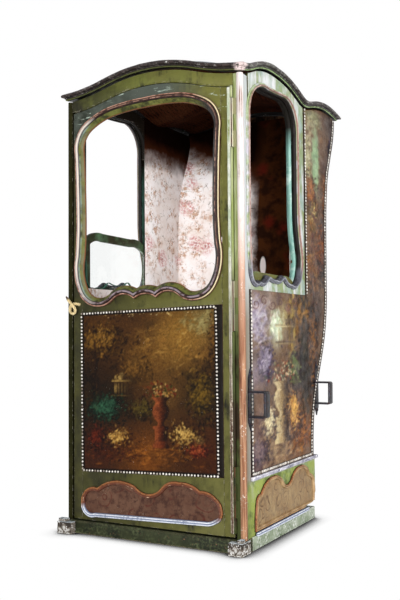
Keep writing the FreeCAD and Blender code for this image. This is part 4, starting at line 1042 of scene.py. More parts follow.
doorMoulding = {
    "pitch": 5.0, "level": 15,       # level: where the CAD's ring is read, out from its wall
    # Thin worn bead, groove, dark hollow band, then a green cove that falls into the opening
    "section": [(0.00, 0.2), (0.02, 5.0), (0.06, 8.2), (0.12, 9.0), (0.17, 7.2), (0.205, 5.6),
                (0.24, 9.0), (0.30, 13.2), (0.37, 15.0), (0.44, 14.2), (0.50, 11.0), (0.545, 7.4),
                (0.56, 6.2), (0.64, 4.6), (0.75, 0.6), (0.86, -4.2), (0.95, -7.4), (0.985, -8.2),
                (1.0, -9.5), (1.0, -12.0, 1), (0.52, -12.0, 1), (0.52, -0.2, 1)],
}
sideMoulding = {
    "pitch": 5.0, "level": 12,
    "section": [(0.00, 0.2), (0.03, 2.6), (0.14, 4.0), (0.26, 3.6), (0.31, 3.4), (0.38, 8.4),
                (0.50, 11.0), (0.62, 9.6), (0.70, 5.0), (0.78, 2.0), (0.90, -1.0), (1.0, -4.0),
                (1.0, -12.0, 1), (0.70, -12.0, 1), (0.70, -0.2, 1)],
}
scrollSection = [(0.00, 0.2), (0.05, 4.6), (0.18, 7.6), (0.30, 7.2), (0.40, 4.0), (0.50, 3.6),
                 (0.62, 7.4), (0.76, 8.2), (0.90, 5.0), (1.0, 1.6), (1.0, 0.2, 1)]
fields = {"crown": 2.2, "shoulder": 14.0, "pitch": 5.0, "edgePitch": 6.0, "lift": 0.6}
cartouche = {"pitch": 4.0, "doorLevel": 9, "sideLevel": 8}


def fillField(name, loop, place, finish, body, seed):
    # Painted ground inside a carved frame, crowned a little in the middle
    loop = evenLoop(loop, fields["edgePitch"])
    low, high = loop.min(0), loop.max(0)
    pitch = fields["pitch"]
    spots = np.array([(u, v) for v in np.arange(low[1] + pitch / 2, high[1],
                                                pitch) for u in np.arange(low[0] + pitch / 2, high[0],
                                                                          pitch)])
    inside = insideLoop(spots, loop)
    reach = np.linalg.norm(spots[:, None] - loop[None], axis=2).min(1)
    spots, reach = spots[inside & (reach > 2.5)], reach[inside & (reach > 2.5)]
    flat = [Vector(p) for p in np.vstack([loop, spots])]
    border = [list(range(len(loop)))]
    corners, _, faces, *_ = geometry.delaunay_2d_cdt(flat, [], border, 1, 1e-4)
    heights = np.concatenate([np.zeros(len(loop)),
                              fields["crown"] * (1 - np.exp(-reach / fields["shoulder"]))])
    points = []
    for k, corner in enumerate(corners):
        lift = heights[k] if k < len(heights) else 0
        lift += ripple(corner[0] * 0.02, corner[1] * 0.02, seed) * 0.5
        points.append(place(corner[0], corner[1], fields["lift"] + lift))
    return newPiece(name, points, [list(f) for f in faces], finish, body)


def insideLoop(spots, loop):
    x, y = spots[:, 0], spots[:, 1]
    inside = np.zeros(len(spots), bool)
    for (ax, ay), (bx, by) in zip(loop, np.roll(loop, -1, 0)):
        crosses = (ay > y) != (by > y)
        slope = (bx - ax) / (by - ay) if by != ay else 0.0
        inside ^= crosses & (x < ax + (y - ay) * slope)
    return inside


# Fields of the carved frames: glaze over gesso, pale ochre with brown brush scrolls on the
# sides, redder and darker on the door
def glazedField(name, ground, cloud, stroke, dirtAndShade, scrollSize, curl):
    material, add, coord, patch = newFinish(name)
    bend = add("TexNoise", {"Vector": coord, "Scale": 1 / scrollSize, "Detail": 0.0}, "Color")
    bent = add("VectorMath", [coord, add("VectorMath", [bend, (curl,) * 3], operation="MULTIPLY")])
    cell = add("TexVoronoi", {"Vector": bent, "Scale": 0.8 / scrollSize}, "Distance")
    scroll = zone(add, cell, 0.41, 0.46, 0.025)
    inner = zone(add, cell, 0.16, 0.20, 0.025)
    fine = patch(0.006, 0.45, 0.65)
    mottled = patch(0.05, 0.36, 0.64)
    thick = patch(0.035, 0.40, 0.56)
    colour = coats(add, ground, (cloud, mottled), (stroke, scroll, thick), (stroke, inner, mottled),
                   (dirtAndShade, patch(0.022, 0.50, 0.66)), (dirtAndShade, fine, patch(0.04, 0.45, 0.6)),
                   ("#e8ddc8", patch(0.005, 0.69, 0.72), mottled))
    return surface(material, add, colour, 0.5, [(fine, -0.0003)], specular=0.16)


def carveFrames():
    stations, _ = ringStations("door_window_moulding", 1, frontY - doorMoulding["level"] * mm,
                               doorMoulding["pitch"])
    layMoulding("doorWindowMoulding", stations, doorMoulding["section"], onDoor, carvedDoorFrame(), "door",
                ["door_window_moulding"])

    sides = carvedSideFrame()
    for side, word in walls:
        stations, _ = ringStations("side_window_mouldings", 0,
                                   side * (halfWidth + sideMoulding["level"] * mm), sideMoulding["pitch"])
        stands = ["side_window_mouldings"] if side > 0 else []
        layMoulding(f"sideWindowMoulding{word}", stations, sideMoulding["section"], onSide(side), sides,
                    "cabin", stands, rough=0.2, seed=side, flip=side < 0)

    scroll = silveredScroll("silveredScrollDoor", 0.085, 0.105)
    stations, inner = ringStations("door_cartouche", 1, frontY - cartouche["doorLevel"] * mm,
                                   cartouche["pitch"])
    layMoulding("doorCartouche", stations, scrollSection, onDoor, scroll, "door",
                ["door_cartouche"], rough=0.4)
    field = glazedField("glazedFieldDoor", "#55382a", "#634636", "#4c1c12", "#3a2118", 0.06, 0.04)
    fillField("doorCartoucheField", inner, onDoor, field, "door", 1.0)

    scroll = silveredScroll("silveredScrollSides", 0.0, 0.001, worn=1.0)
    field = glazedField("glazedFieldSides", "#9c845f", "#8a6e4c", "#4f301c", "#806a4e", 0.045, 0.035)
    stations, inner = ringStations("side_cartouches", 0, -(halfWidth + cartouche["sideLevel"] * mm),
                                   cartouche["pitch"])
    for side, word in walls:
        stands = ["side_cartouches"] if side > 0 else []
        ring = layMoulding(f"sideCartouche{word}", stations, scrollSection, onSide(side), scroll, "cabin",
                           stands, rough=0.4, seed=side, flip=side < 0)
        ground = fillField(f"sideCartoucheField{word}", inner, onSide(side), field, "cabin",
                           side)
        if side > 0:
            breakCorner(ring)
            breakCorner(ground)
        silverBead(side, word)


# Painted strips that guide the sashes, round the inner edge of each side window
guides = {-1: (309, 302), 1: (321, 302), "pitch": 8.0, "gap": (0.3, 2.3)}     # far and near edge


def fitGuides():
    material, add, coord, patch = newFinish("tealGuide")
    x, z = (add("SeparateXYZ", [coord], axis) for axis in "XZ")
    # Painted shade: the guides turn near black towards the top, under the roof; on the left wall they are
    # darker teal
    colour = coats(add, "#97c2b6", ("#6f9f94", patch(0.02, 0.42, 0.6, stretch=(1, 1, 0.1))),
                   ("#c4ddd4", patch(0.05, 0.5, 0.62)), ("#3c6a5a", add("MapRange", [x, 0.1, -0.1])),
                   ("#14110c", add("MapRange", [z, 1.34, 1.425])))
    finish = surface(material, add, colour, 0.6, specular=0.15)
    for side, word in walls:
        inner = evenLoop(ringLoops("side_window_mouldings", 0,
                                   side * (halfWidth + sideMoulding["level"] * mm))[1], guides["pitch"])
        ahead = np.roll(inner, -1, 0) - np.roll(inner, 1, 0)
        out = np.stack([ahead[:, 1], -ahead[:, 0]], 1) / np.hypot(*ahead.T)[:, None]
        (far, near), (tight, loose) = guides[side], guides["gap"]
        points = []
        for (u, v), (du, dv) in zip(inner, out):
            for x, gap in ((far, tight), (near, tight), (near, loose), (far, loose)):
                points.append((side * x * mm, (u + du * gap) * mm, (v + dv * gap) * mm))
        total = len(points)
        faces = gridFaces(len(inner) + 1, 4, closed=True, flip=side < 0)
        newPiece(f"sashGuide{word}", points, [[i % total for i in face] for face in faces], finish,
                 "cabin")


# Silvered double bead along the top of each base rail; the right one ends at the break
beadRail = {"front": 72, "ends": {-1: 580, 1: 520}, "foot": 38.5, "tall": 14.0, "proud": 7.0,
            "round": 9, "pitch": 4.0, "back": 4.1}


def roundEnd(gap):
    # 0 at the very end of the bead, 1 from its round on
    return min(1.0, math.sqrt(max(0.0, gap / beadRail["round"])))


def silverBead(side, word):
    foot, tall, proud = beadRail["foot"], beadRail["tall"], beadRail["proud"]
    rise = [(0.0, 0.0), (0.04, 0.62), (0.16, 0.92), (0.30, 0.86), (0.42, 0.42), (0.50, 0.36), (0.58, 0.60),
            (0.72, 1.0), (0.88, 0.86), (0.97, 0.45), (1.0, 0.0)]
    start, end = beadRail["front"], beadRail["ends"][side]
    stops = np.arange(start, end + 0.1, beadRail["pitch"])
    points, crest = [], []
    for depth in stops:
        swell = roundEnd(depth - start) * roundEnd(end - depth + 4)
        for share, height in rise:
            wear = ripple(depth * 0.12, share * 4, side) * 0.5
            out = beadRail["back"] + max(0.1, height * proud * swell + wear * min(1, height * 2))
            level = foot + tall * (0.5 + (share - 0.5) * (0.55 + 0.45 * swell))
            points.append(onSide(side)(depthToY(depth) / mm, level, out))
            crest.append(height)
    faces = gridFaces(len(stops), len(rise), closed=True, flip=side < 0)
    faces += endFaces(len(stops), len(rise), flip=side > 0)
    newPiece(f"silverBead{word}", points, faces, beadFinish, "cabin",
             fields={"crest": crest, "across": [0.2] * len(points)})


def breakCorner(piece):
    # The back lower corner is broken away: rows of depth and height in millimetres
    outline = [(440, 42), (461, 55), (574, 66), (588, 122), (640, 150), (640, 30), (440, 30)]
    near, far = halfWidth - 5 * mm, halfWidth + 20 * mm
    points = [(x, depthToY(depth), z * mm) for x in (near, far) for depth, z in outline]
    n = len(outline)
    faces = [[i, (i + 1) % n, n + (i + 1) % n, n + i] for i in range(n)]
    faces += [list(range(n))[::-1], list(range(n, 2 * n))]
    mesh = bpy.data.meshes.new("brokenCorner")
    mesh.from_pydata(points, [], faces)
    tidy = bmesh.new()
    tidy.from_mesh(mesh)
    bmesh.ops.recalc_face_normals(tidy, faces=tidy.faces)
    tidy.to_mesh(mesh)
    tidy.free()
    cutter = linked("brokenCorner", mesh)
    cut = piece.modifiers.new("broken", "BOOLEAN")
    cut.operation, cut.object, cut.solver = "DIFFERENCE", cutter, "EXACT"
    freeze(piece)
    bpy.data.objects.remove(cutter)


beadFinish = silveredScroll("silveredBead", 0.30, 0.31)
carveFrames()
fitGuides()
print("frames carved")


# Crown moulding round the lid, mitred at the corners. Rows of the section: reach from the
# wall's face and height above the walls, in millimetres.
crown = {
    "section": [(-36, 6.5), (0, 6.5), (4, 6.6), (7.6, 8.2), (8, 10.2), (6.4, 11.6), (7.4, 12.8),
                (10, 13.4), (10.6, 15.4), (9, 16.8), (11.5, 17.4), (15.4, 18), (18.6, 19.8),
                (20, 22.8), (19.6, 26.6), (17, 29.6), (12, 31.2), (4, 31.2), (-10, 29.8), (-12, 25),
                (-36, 24)],
    "rearReach": 30 / 20,
    "mitreGap": 1.6,
    "depth": 872,
    "pitch": 7.0,
    "rough": 0.7,
}
roof = {"rows": 60, "columns": 50, "inset": 10, "canvas": 26, "boards": 14}


def crownRun(name, place, first, last, finish, stands, flip=False):
    # One run of the crown; place gives a point from a share of the run, reach and height
    section = crown["section"]
    count = max(8, int(abs(last - first) / crown["pitch"]))
    points, crest = [], []
    for i in range(count + 1):
        share = i / count
        for reach, lift in section:
            x, depth = place(share, reach)
            worn = 0
            if reach > 9:
                spot = Vector((x * 0.03, depth * 0.03, lift * 0.12))
                worn = noise.noise(spot) * crown["rough"] + noise.noise(spot * 4.5) * crown["rough"] * 0.6
            points.append((x * mm, depthToY(depth), roofHeight(x, depth, lift + worn)))
            crest.append((lift - 6) / 25 if reach > -1 else 0)
    faces = gridFaces(count + 1, len(section), closed=True, flip=flip)
    faces += endFaces(count + 1, len(section), flip=not flip)
    piece = newPiece(name, points, faces, finish, "roof", stands, {"crest": crest})
    for polygon in piece.data.polygons[-2:]:
        polygon.use_smooth = False


def buildLid():
    finish = darkCrown()
    half = halfWidth / mm
    depth, rear = crown["depth"], crown["rearReach"]

    def backOf(reach):
        return depth + (reach * rear if reach > 0 else reach)

    crownRun("crownFront", lambda t, r: ((2 * t - 1) * (half + r), -r), -half, half, finish,
             ["cornice_front"], flip=True)
    crownRun("crownRear", lambda t, r: ((2 * t - 1) * (half + r), backOf(r)), -half, half, finish,
             ["cornice_rear"])
    gap = crown["mitreGap"]
    crownRun("crownRight", lambda t, r: (half + r, gap - r + t * (backOf(r) + r - gap)), 0, depth, finish,
             ["cornice_sides"], flip=True)
    crownRun("crownLeft", lambda t, r: (-half - r, -r + t * (backOf(r) + r)), 0, depth, finish, [])

    rows, columns, inset = roof["rows"], roof["columns"], roof["inset"]
    top, under = [], []
    for i, j in np.ndindex(rows, columns):
        x = -half + inset + (2 * half - 2 * inset) * j / (columns - 1)
        back = inset + (depth - 2 * inset) * i / (rows - 1)
        lift = ripple(x * 0.008, back * 0.008, 0) * 1.2
        top.append((x * mm, depthToY(back), roofHeight(x, back, roof["canvas"] + lift)))
        under.append((x * mm, depthToY(back), roofHeight(x, back, roof["boards"] + lift * 0.5)))
    newPiece("roofCanvas", top, gridFaces(rows, columns), roofCanvas(), "roof",
             ["roof_shell"])
    newPiece("roofBoards", under, gridFaces(rows, columns, flip=True), woods["ceiling"], "roof")


buildLid()
print("lid built")


# Decorative park scenes of the workshop kind, without figures. Each is laid down in washes,
# brush dabs and heaps of leaves or flowers on a canvas of 2 mm cells, and kept as colours of
# the panel's own points. Places and spreads are shares of the panel.
# Washes: across, up, size, colour, strength.
# Dabs: across, up, spread across, spread up, count, length and width in mm, angle in
# degrees, its spread, strength, colours.
# Heaps: across, up, spread across, spread up, count, leaf in mm, colours from dark to lit.
# Curls: across, up, radius in mm, first angle and sweep in degrees, width in mm, colour.
doorScene = {
    "base": "#3a2413", "depth": 1.10, "stretch": 1.0,
    "washes": [
        (0.72, 0.82, 0.24, "#86662f", 0.95), (0.46, 0.70, 0.16, "#6e4f24", 0.80),
        (0.93, 0.93, 0.13, "#7d744c", 0.75), (0.14, 0.88, 0.22, "#4c3217", 0.80),
        (0.04, 0.52, 0.20, "#170e08", 0.90), (0.26, 0.44, 0.14, "#1a140b", 0.85),
        (0.60, 0.47, 0.13, "#6a4f28", 0.70), (0.84, 0.50, 0.13, "#352813", 0.75),
        (0.12, 0.12, 0.20, "#381c12", 0.80), (0.48, 0.10, 0.17, "#7c4a1c", 0.85),
        (0.90, 0.10, 0.18, "#42210f", 0.85), (0.98, 0.55, 0.10, "#28170a", 0.80),
    ],
    "steps": [
        ("dabs", 0.66, 0.78, 0.24, 0.14, 300, 30, 9, 16, 60, 0.30, "#96743c #7a5a2a #64451f #a88a50"),
        ("dabs", 0.88, 0.90, 0.12, 0.05, 160, 22, 9, 30, 60, 0.42, "#8a8460 #645e3e #a39a6e"),
        ("heap", 0.42, 0.62, 0.10, 0.10, 480, 15, "#2a1c0c #4a3317 #6a4c24"),
        ("heap", 0.17, 0.80, 0.17, 0.10, 900, 16, "#160d06 #2c1c0b #513817 #7c5c2a"),
        ("dabs", 0.10, 0.58, 0.012, 0.20, 150, 38, 8, 84, 8, 0.66, "#0f0804 #22140a #3d2714"),
        ("heap", 0.05, 0.42, 0.07, 0.16, 560, 15, "#0c0704 #1a120a #30210f"),
        ("temple", 0.30, 0.47, 84, "#2a1c10 #6d5830 #a88f58"),
        ("heap", 0.20, 0.38, 0.13, 0.08, 800, 13, "#060d0a #0d1c16 #1a3328 #2f5342"),
        ("heap", 0.88, 0.44, 0.10, 0.15, 900, 14, "#0f0a05 #231b0b #3f3113 #67501f"),
        ("heap", 0.96, 0.76, 0.05, 0.18, 520, 14, "#1a0f05 #3a2610 #654720"),
        ("heap", 0.46, 0.38, 0.08, 0.06, 420, 13, "#120c06 #2c2410 #4f431e"),
        ("dabs", 0.52, 0.13, 0.30, 0.06, 420, 26, 8, 4, 30, 0.42, "#7c4c1e #52300f #96602a #3a1f0c"),
        ("dabs", 0.20, 0.12, 0.16, 0.05, 260, 16, 7, 24, 60, 0.50, "#2c120a #481e12 #1a0c07 #5f3018"),
        ("vase", 0.58, 0.16, 0.30, "#150906 #4f2214 #8a4a2c",
         "#6d2416 #a8793c #c4ac74 #3c120c #222c14"),
        ("heap", 0.77, 0.22, 0.10, 0.07, 620, 12, "#150c06 #3c2410 #7c5c2a #c4a868"),
        ("heap", 0.84, 0.14, 0.07, 0.04, 260, 11, "#260b07 #5a1c12 #8f4a2c"),
        ("heap", 0.29, 0.20, 0.09, 0.06, 480, 12, "#1a0c07 #42240f #7f5c28 #b89a5c"),
        ("heap", 0.12, 0.20, 0.07, 0.07, 380, 13, "#100705 #32130c #5a2416"),
        ("dabs", 0.50, 0.97, 0.30, 0.012, 40, 7, 3, 20, 90, 0.9, "#c9bc98 #a8986c"),
    ],
}
sideScene = {
    "base": "#6a4f38", "depth": 1.12, "stretch": 1.8,
    "washes": [
        (0.04, 0.38, 0.10, "#c0b6bc", 0.90), (0.03, 0.24, 0.08, "#94868f", 0.80),
        (0.17, 0.41, 0.08, "#a8968e", 0.70), (0.24, 0.34, 0.07, "#c9cfb4", 0.85),
        (0.33, 0.38, 0.06, "#b8ac74", 0.75), (0.13, 0.25, 0.07, "#5f4c60", 0.80),
        (0.44, 0.36, 0.07, "#7c5824", 0.80), (0.58, 0.34, 0.09, "#382010", 0.85),
        (0.62, 0.20, 0.10, "#24140b", 0.90), (0.08, 0.12, 0.09, "#7c6056", 0.75),
        (0.30, 0.04, 0.12, "#8a6a4c", 0.65), (0.06, 0.03, 0.10, "#54383e", 0.80),
        (0.46, 0.05, 0.12, "#744622", 0.80), (0.70, 0.40, 0.08, "#24140f", 0.85),
        (0.66, 0.52, 0.06, "#5c3818", 0.80), (0.82, 0.56, 0.09, "#1f100b", 0.90),
        (0.64, 0.66, 0.05, "#8a6c3c", 0.75), (0.86, 0.70, 0.07, "#3c1f12", 0.85),
        (0.60, 0.80, 0.06, "#8f8058", 0.80), (0.82, 0.82, 0.05, "#4a2c1c", 0.80),
        (0.96, 0.84, 0.10, "#1c121c", 0.95), (0.64, 0.96, 0.07, "#8a7c58", 0.80),
        (0.90, 0.97, 0.08, "#33241f", 0.85), (0.88, 0.60, 0.06, "#5f2410", 0.85),
        (0.93, 0.45, 0.07, "#1a0d08", 0.90),
    ],
    "steps": [
        ("dabs", 0.08, 0.36, 0.07, 0.05, 200, 22, 12, 40, 60, 0.50, "#cfc8cc #94889a #b8aeb6 #75647a"),
        ("dabs", 0.25, 0.36, 0.05, 0.03, 160, 26, 12, 100, 40, 0.50, "#dcdfc8 #c0c8a8 #a3ac8a #efeee0"),
        ("heap", 0.15, 0.26, 0.07, 0.04, 380, 18, "#261c2c #4a3c54 #786a80 #a0949e"),
        ("dabs", 0.41, 0.36, 0.035, 0.07, 220, 36, 12, 86, 24, 0.50, "#8f7430 #b39a52 #52401a #74481c"),
        ("heap", 0.56, 0.38, 0.09, 0.05, 620, 20, "#120904 #2e1a0b #5c3c1a #8f682e"),
        ("dabs", 0.55, 0.27, 0.04, 0.12, 300, 36, 14, 84, 24, 0.60, "#120a06 #2e1b0a #5f3f1a #1f2010"),
        ("heap", 0.67, 0.27, 0.06, 0.12, 620, 18, "#0f0805 #2a170b #573218 #7f5424"),
        ("temple", 0.34, 0.31, 100, "#4c3828 #9a8660 #cdbf98"),
        ("heap", 0.46, 0.23, 0.07, 0.05, 620, 16, "#0e0808 #281418 #453626 #626c42"),
        ("dabs", 0.30, 0.05, 0.24, 0.03, 380, 26, 12, 6, 60, 0.50, "#74563e #a3855f #3a261e #b89c74"),
        ("dabs", 0.52, 0.07, 0.10, 0.04, 260, 24, 12, 20, 60, 0.55, "#8a4e1e #a87034 #3a1c0d #5f3614"),
        ("vase", 0.30, 0.06, 0.155, "#30201a #8a7048 #d4c296",
         "#94401f #c4a878 #5f2018 #d4c8a8 #42503a"),
        ("heap", 0.44, 0.12, 0.08, 0.05, 620, 16, "#241009 #5f3213 #9a6428 #cda45c"),
        ("heap", 0.18, 0.11, 0.06, 0.04, 420, 16, "#30242a #6d5848 #ab9470 #dccfa8"),
        ("heap", 0.08, 0.05, 0.07, 0.025, 320, 18, "#2c1a22 #54404c #7c6460"),
        ("heap", 0.64, 0.52, 0.05, 0.05, 420, 16, "#241208 #643a16 #96662c"),
        ("heap", 0.80, 0.56, 0.07, 0.08, 800, 15, "#0c0604 #280f09 #562814 #844c20"),
        ("heap", 0.68, 0.67, 0.05, 0.05, 420, 16, "#3a2810 #7a5a28 #a88c50 #c4b078"),
        ("dabs", 0.62, 0.84, 0.04, 0.08, 240, 26, 12, 60, 60, 0.45, "#b8b08c #94906a #c9c2a3 #746c48"),
        ("dabs", 0.72, 0.83, 0.030, 0.065, 420, 26, 20, 88, 30, 0.26, "#8fa880 #a3b490 #7f9670"),
        ("heap", 0.66, 0.73, 0.05, 0.04, 420, 15, "#2a1409 #6a3418 #a06a3a"),
        ("heap", 0.90, 0.64, 0.05, 0.05, 520, 15, "#1c0a05 #5a2210 #8f4a22"),
        ("heap", 0.86, 0.72, 0.05, 0.07, 620, 15, "#180a06 #3c1c10 #6a4022 #945f34"),
        ("heap", 0.95, 0.86, 0.05, 0.06, 480, 16, "#100a12 #281c2e #4a3c4a"),
        ("dabs", 0.95, 0.58, 0.035, 0.34, 620, 34, 15, 88, 22, 0.55, "#140a08 #2c120a #1c101c #3f1c0e"),
        ("dabs", 0.68, 0.58, 0.05, 0.12, 260, 26, 12, 80, 50, 0.45, "#5a2410 #7c5c34 #2a140a #94643a"),
        ("dabs", 0.70, 0.95, 0.07, 0.02, 180, 24, 10, 20, 60, 0.45, "#8f8a66 #5a5438 #a8a480"),
    ] + [("curl", 0.05 + 0.080 * k, 0.408 + 0.010 * (k % 2), 17, 200 - 150 * (k % 2), 400, 4.5,
          "#5c3a38") for k in range(6)],
}
backScene = {
    "base": "#4a3826", "depth": 1.0, "stretch": 1.0,
    "washes": [
        (0.50, 0.80, 0.30, "#8a7a50", 0.70), (0.20, 0.95, 0.24, "#4c4434", 0.60),
        (0.85, 0.90, 0.22, "#5b4a30", 0.60), (0.50, 0.55, 0.26, "#7a6432", 0.65),
        (0.10, 0.60, 0.20, "#31241a", 0.75), (0.90, 0.55, 0.20, "#3a2a1c", 0.75),
        (0.50, 0.30, 0.24, "#5d4a2a", 0.60), (0.50, 0.08, 0.30, "#70502a", 0.75),
    ],
    "steps": [
        ("dabs", 0.50, 0.78, 0.22, 0.10, 260, 34, 12, 20, 40, 0.34, "#9a8a5a #7d6e40 #b0a070"),
        ("heap", 0.12, 0.66, 0.09, 0.16, 520, 20, "#1e1812 #38301a #5b4c28 #857040"),
        ("heap", 0.88, 0.66, 0.09, 0.16, 520, 20, "#1e1812 #38301a #5b4c28 #857040"),
        ("temple", 0.50, 0.44, 110, "#4c3c24 #8d7a4c #c4b078"),
        ("heap", 0.50, 0.36, 0.30, 0.04, 520, 16, "#141a0e #26301e #4a5230"),
        ("dabs", 0.50, 0.10, 0.34, 0.05, 300, 30, 9, 6, 20, 0.40, "#8a622e #6c4a22 #a37a42"),
        ("vase", 0.50, 0.12, 0.20, "#33271c #80674a #bda67c",
         "#9c4c34 #c49a60 #d6c79a #3c4626"),
        ("heap", 0.24, 0.15, 0.08, 0.03, 260, 12, "#2c1a10 #7c4a28 #c4985a"),
        ("heap", 0.76, 0.15, 0.08, 0.03, 260, 12, "#2c1a10 #7c4a28 #c4985a"),
    ],
}
cell = 2.0                   # canvas cell in millimetres


def shade(hexColour):
    return np.array([int(hexColour[i:i + 2], 16) / 255 for i in (1, 3, 5)])


def dab(canvas, x, y, length, width, angle, colour, strength):
    # One brush dab; x, y, length and width in cells
    reach = int(length / 2 + width / 2 + 2)
    rows, columns = canvas.shape[:2]
    left, right = max(0, int(x) - reach), min(columns, int(x) + reach + 1)
    low, high = max(0, int(y) - reach), min(rows, int(y) + reach + 1)
    if left >= right or low >= high:
        return
    v, u = np.mgrid[low:high, left:right].astype(float)
    u, v = u - x, v - y
    a = u * math.cos(angle) + v * math.sin(angle)
    b = v * math.cos(angle) - u * math.sin(angle)
    away = (a / (length / 2)) ** 2 + (b / (width / 2)) ** 2
    bristle = 0.85 + 0.15 * np.cos(b * 2.4)
    cover = (strength * np.clip(1.35 - 1.35 * away, 0, 1) * bristle)[..., None]
    window = canvas[low:high, left:right]
    window += (colour - window) * cover


def paintDabs(canvas, draw, across, up, wide, high, count, length, breadth, angle, turn, strength, tones):
    rows, columns = canvas.shape[:2]
    for _ in range(count):
        x, y = draw.gauss(across, wide * 0.6) * columns, draw.gauss(up, high * 0.6) * rows
        tone = shade(draw.choice(tones.split())) * draw.uniform(0.88, 1.12)
        dab(canvas, x, y, length / cell * draw.uniform(0.6, 1.3), breadth / cell * draw.uniform(0.7, 1.3),
            math.radians(draw.gauss(angle, turn * 0.5)), tone, min(1, strength * draw.uniform(0.6, 1.3)))


def paintHeap(canvas, draw, across, up, wide, high, count, leaf, tones):
    # Dark leaves first; the lit ones come last, higher and to the left
    rows, columns = canvas.shape[:2]
    tones = tones.split()
    for k in range(count):
        share = k / count
        tone = shade(tones[int(share ** 1.4 * len(tones))]) * draw.uniform(0.82, 1.18)
        tight = 0.62 - 0.24 * share
        x = (across - 0.3 * wide * share + draw.gauss(0, wide * tight)) * columns
        y = (up + 0.35 * high * share + draw.gauss(0, high * tight)) * rows
        dab(canvas, x, y, leaf / cell * draw.uniform(0.7, 1.3), leaf / cell * draw.uniform(0.35, 0.65),
            draw.uniform(0, 3.1), tone, draw.uniform(0.45, 0.85))


def paintTemple(canvas, draw, across, foot, tall, tones):
    # A small round garden temple: steps, columns and a low dome, lit from the left
    rows, columns = canvas.shape[:2]
    x, y, unit = across * columns, foot * rows, tall / cell
    dark, middle, lit = (shade(tone) for tone in tones.split())
    for k in range(7):
        turn = math.pi * (k + 0.5) / 7
        place = x - math.cos(turn) * unit * 0.34
        tone = lit + (dark - lit) * (k / 6) ** 0.8
        dab(canvas, place, y + unit * 0.32, unit * 0.52, 3.2 + 1.6 * math.sin(turn), math.pi / 2, tone, 0.8)
    courses = ((0.02, 0.46, middle), (0.07, 0.42, dark), (0.60, 0.43, lit), (0.65, 0.45, middle))
    for level, half, tone in courses:
        for step in np.linspace(-1, 1, 9):
            dab(canvas, x + step * half * unit, y + level * unit, unit * 0.16, 3.4, 0,
                tone + (dark - tone) * max(0, step) * 0.7, 0.8)
    for k in range(70):
        turn, reach = draw.uniform(0, math.pi), draw.uniform(0, 0.36) * unit
        tone = lit + (dark - lit) * np.clip(0.5 + 0.5 * math.cos(turn), 0, 1)
        dab(canvas, x + math.cos(turn) * reach, y + unit * 0.68 + math.sin(turn) * reach * 0.7, 5, 3.5,
            turn + math.pi / 2, tone, 0.6)


def paintVase(canvas, draw, across, foot, tall, tones, flowers):
    # Garden vase on a pedestal, lit from the upper left, with a bunch of flowers
    rows, columns = canvas.shape[:2]
    middle, foot, tall = across * columns, foot * rows, tall * rows
    outline = [(0.0, 0.17), (0.06, 0.17), (0.08, 0.13), (0.36, 0.13), (0.38, 0.17), (0.42, 0.17),
               (0.44, 0.06), (0.50, 0.05), (0.58, 0.13), (0.70, 0.19), (0.80, 0.17), (0.88, 0.11),
               (0.93, 0.12), (1.0, 0.20)]
    levels, halves = zip(*outline)
    tones = [shade(tone) for tone in tones.split()]
    for level in np.linspace(0, 1, int(tall / 1.4)):
        half = np.interp(level, levels, halves) * tall
        for share in np.linspace(-1, 1, max(3, int(half))):
            light = np.clip(0.55 - 0.75 * share + 0.2 * draw.uniform(-1, 1), 0, 1)
            tone = tones[0] + (tones[1] - tones[0]) * min(1, light * 2)
            tone = tone + (tones[2] - tones[1]) * max(0, light * 2 - 1)
            dab(canvas, middle + half * share, foot + level * tall, 4.0, 2.8, draw.uniform(-0.4, 0.4),
                tone, 0.75)
    for _ in range(130):
        angle, spread = draw.uniform(0, math.pi), draw.uniform(0, 0.32) * tall
        dab(canvas, middle + spread * 1.25 * math.cos(angle),
            foot + tall * 1.02 + spread * math.sin(angle), draw.uniform(4, 7), draw.uniform(3, 5),
            draw.uniform(0, 3), shade(draw.choice(flowers.split())), 0.75)


def paintCurl(canvas, draw, across, up, radius, start, sweep, breadth, tone):
    # A brushed C-scroll that tightens as it turns
    rows, columns = canvas.shape[:2]
    steps = int(sweep / 9)
    for k in range(steps):
        share = k / steps
        angle = math.radians(start + sweep * share)
        reach = radius * (1 - 0.75 * share) / cell
        x, y = across * columns + reach * math.cos(angle), up * rows + reach * math.sin(angle)
        dab(canvas, x, y, 5, breadth / cell * (1.2 - 0.6 * share), angle + math.pi / 2, shade(tone), 0.62)


brushes = {"dabs": paintDabs, "heap": paintHeap, "temple": paintTemple, "vase": paintVase,
           "curl": paintCurl}


def paintScene(width, height, picture, seed):
    # The picture as sRGB values on a canvas that is width by height millimetres
    draw = random.Random(seed)
    columns, rows = int(width / cell / picture["stretch"]), int(height / cell)
    canvas = np.ones((rows, columns, 3)) * shade(picture["base"])
    v, u = np.mgrid[0:rows, 0:columns].astype(float)
    u, v = u / columns, v / rows
    stretch = height / width
    for across, up, size, tone, strength in picture["washes"]:
        away = ((u - across) ** 2 + ((v - up) * stretch) ** 2) / (size * size)
        canvas += (shade(tone) - canvas) * (strength * np.exp(-away * 1.2))[..., None]
    for kind, *details in picture["steps"]:
        brushes[kind](canvas, draw, *details)
    for least, most, share, strength in ((12, 34, 900, 0.5), (4, 12, 90, 0.45)):
        for _ in range(int(rows * columns / share)):        # broken glazes, broad and then fine
            x, y = draw.uniform(0, columns), draw.uniform(0, rows)
            here = canvas[min(rows - 1, int(y)), min(columns - 1, int(x))]
            dab(canvas, x, y, draw.uniform(least, most), draw.uniform(least, most) * 0.5,
                draw.uniform(0, 3.1), here * draw.uniform(0.62, 1.36), strength)
    mean = canvas.mean((0, 1))
    canvas = mean + (canvas - mean) * picture["depth"]
    return np.clip(canvas, 0.01, 1)


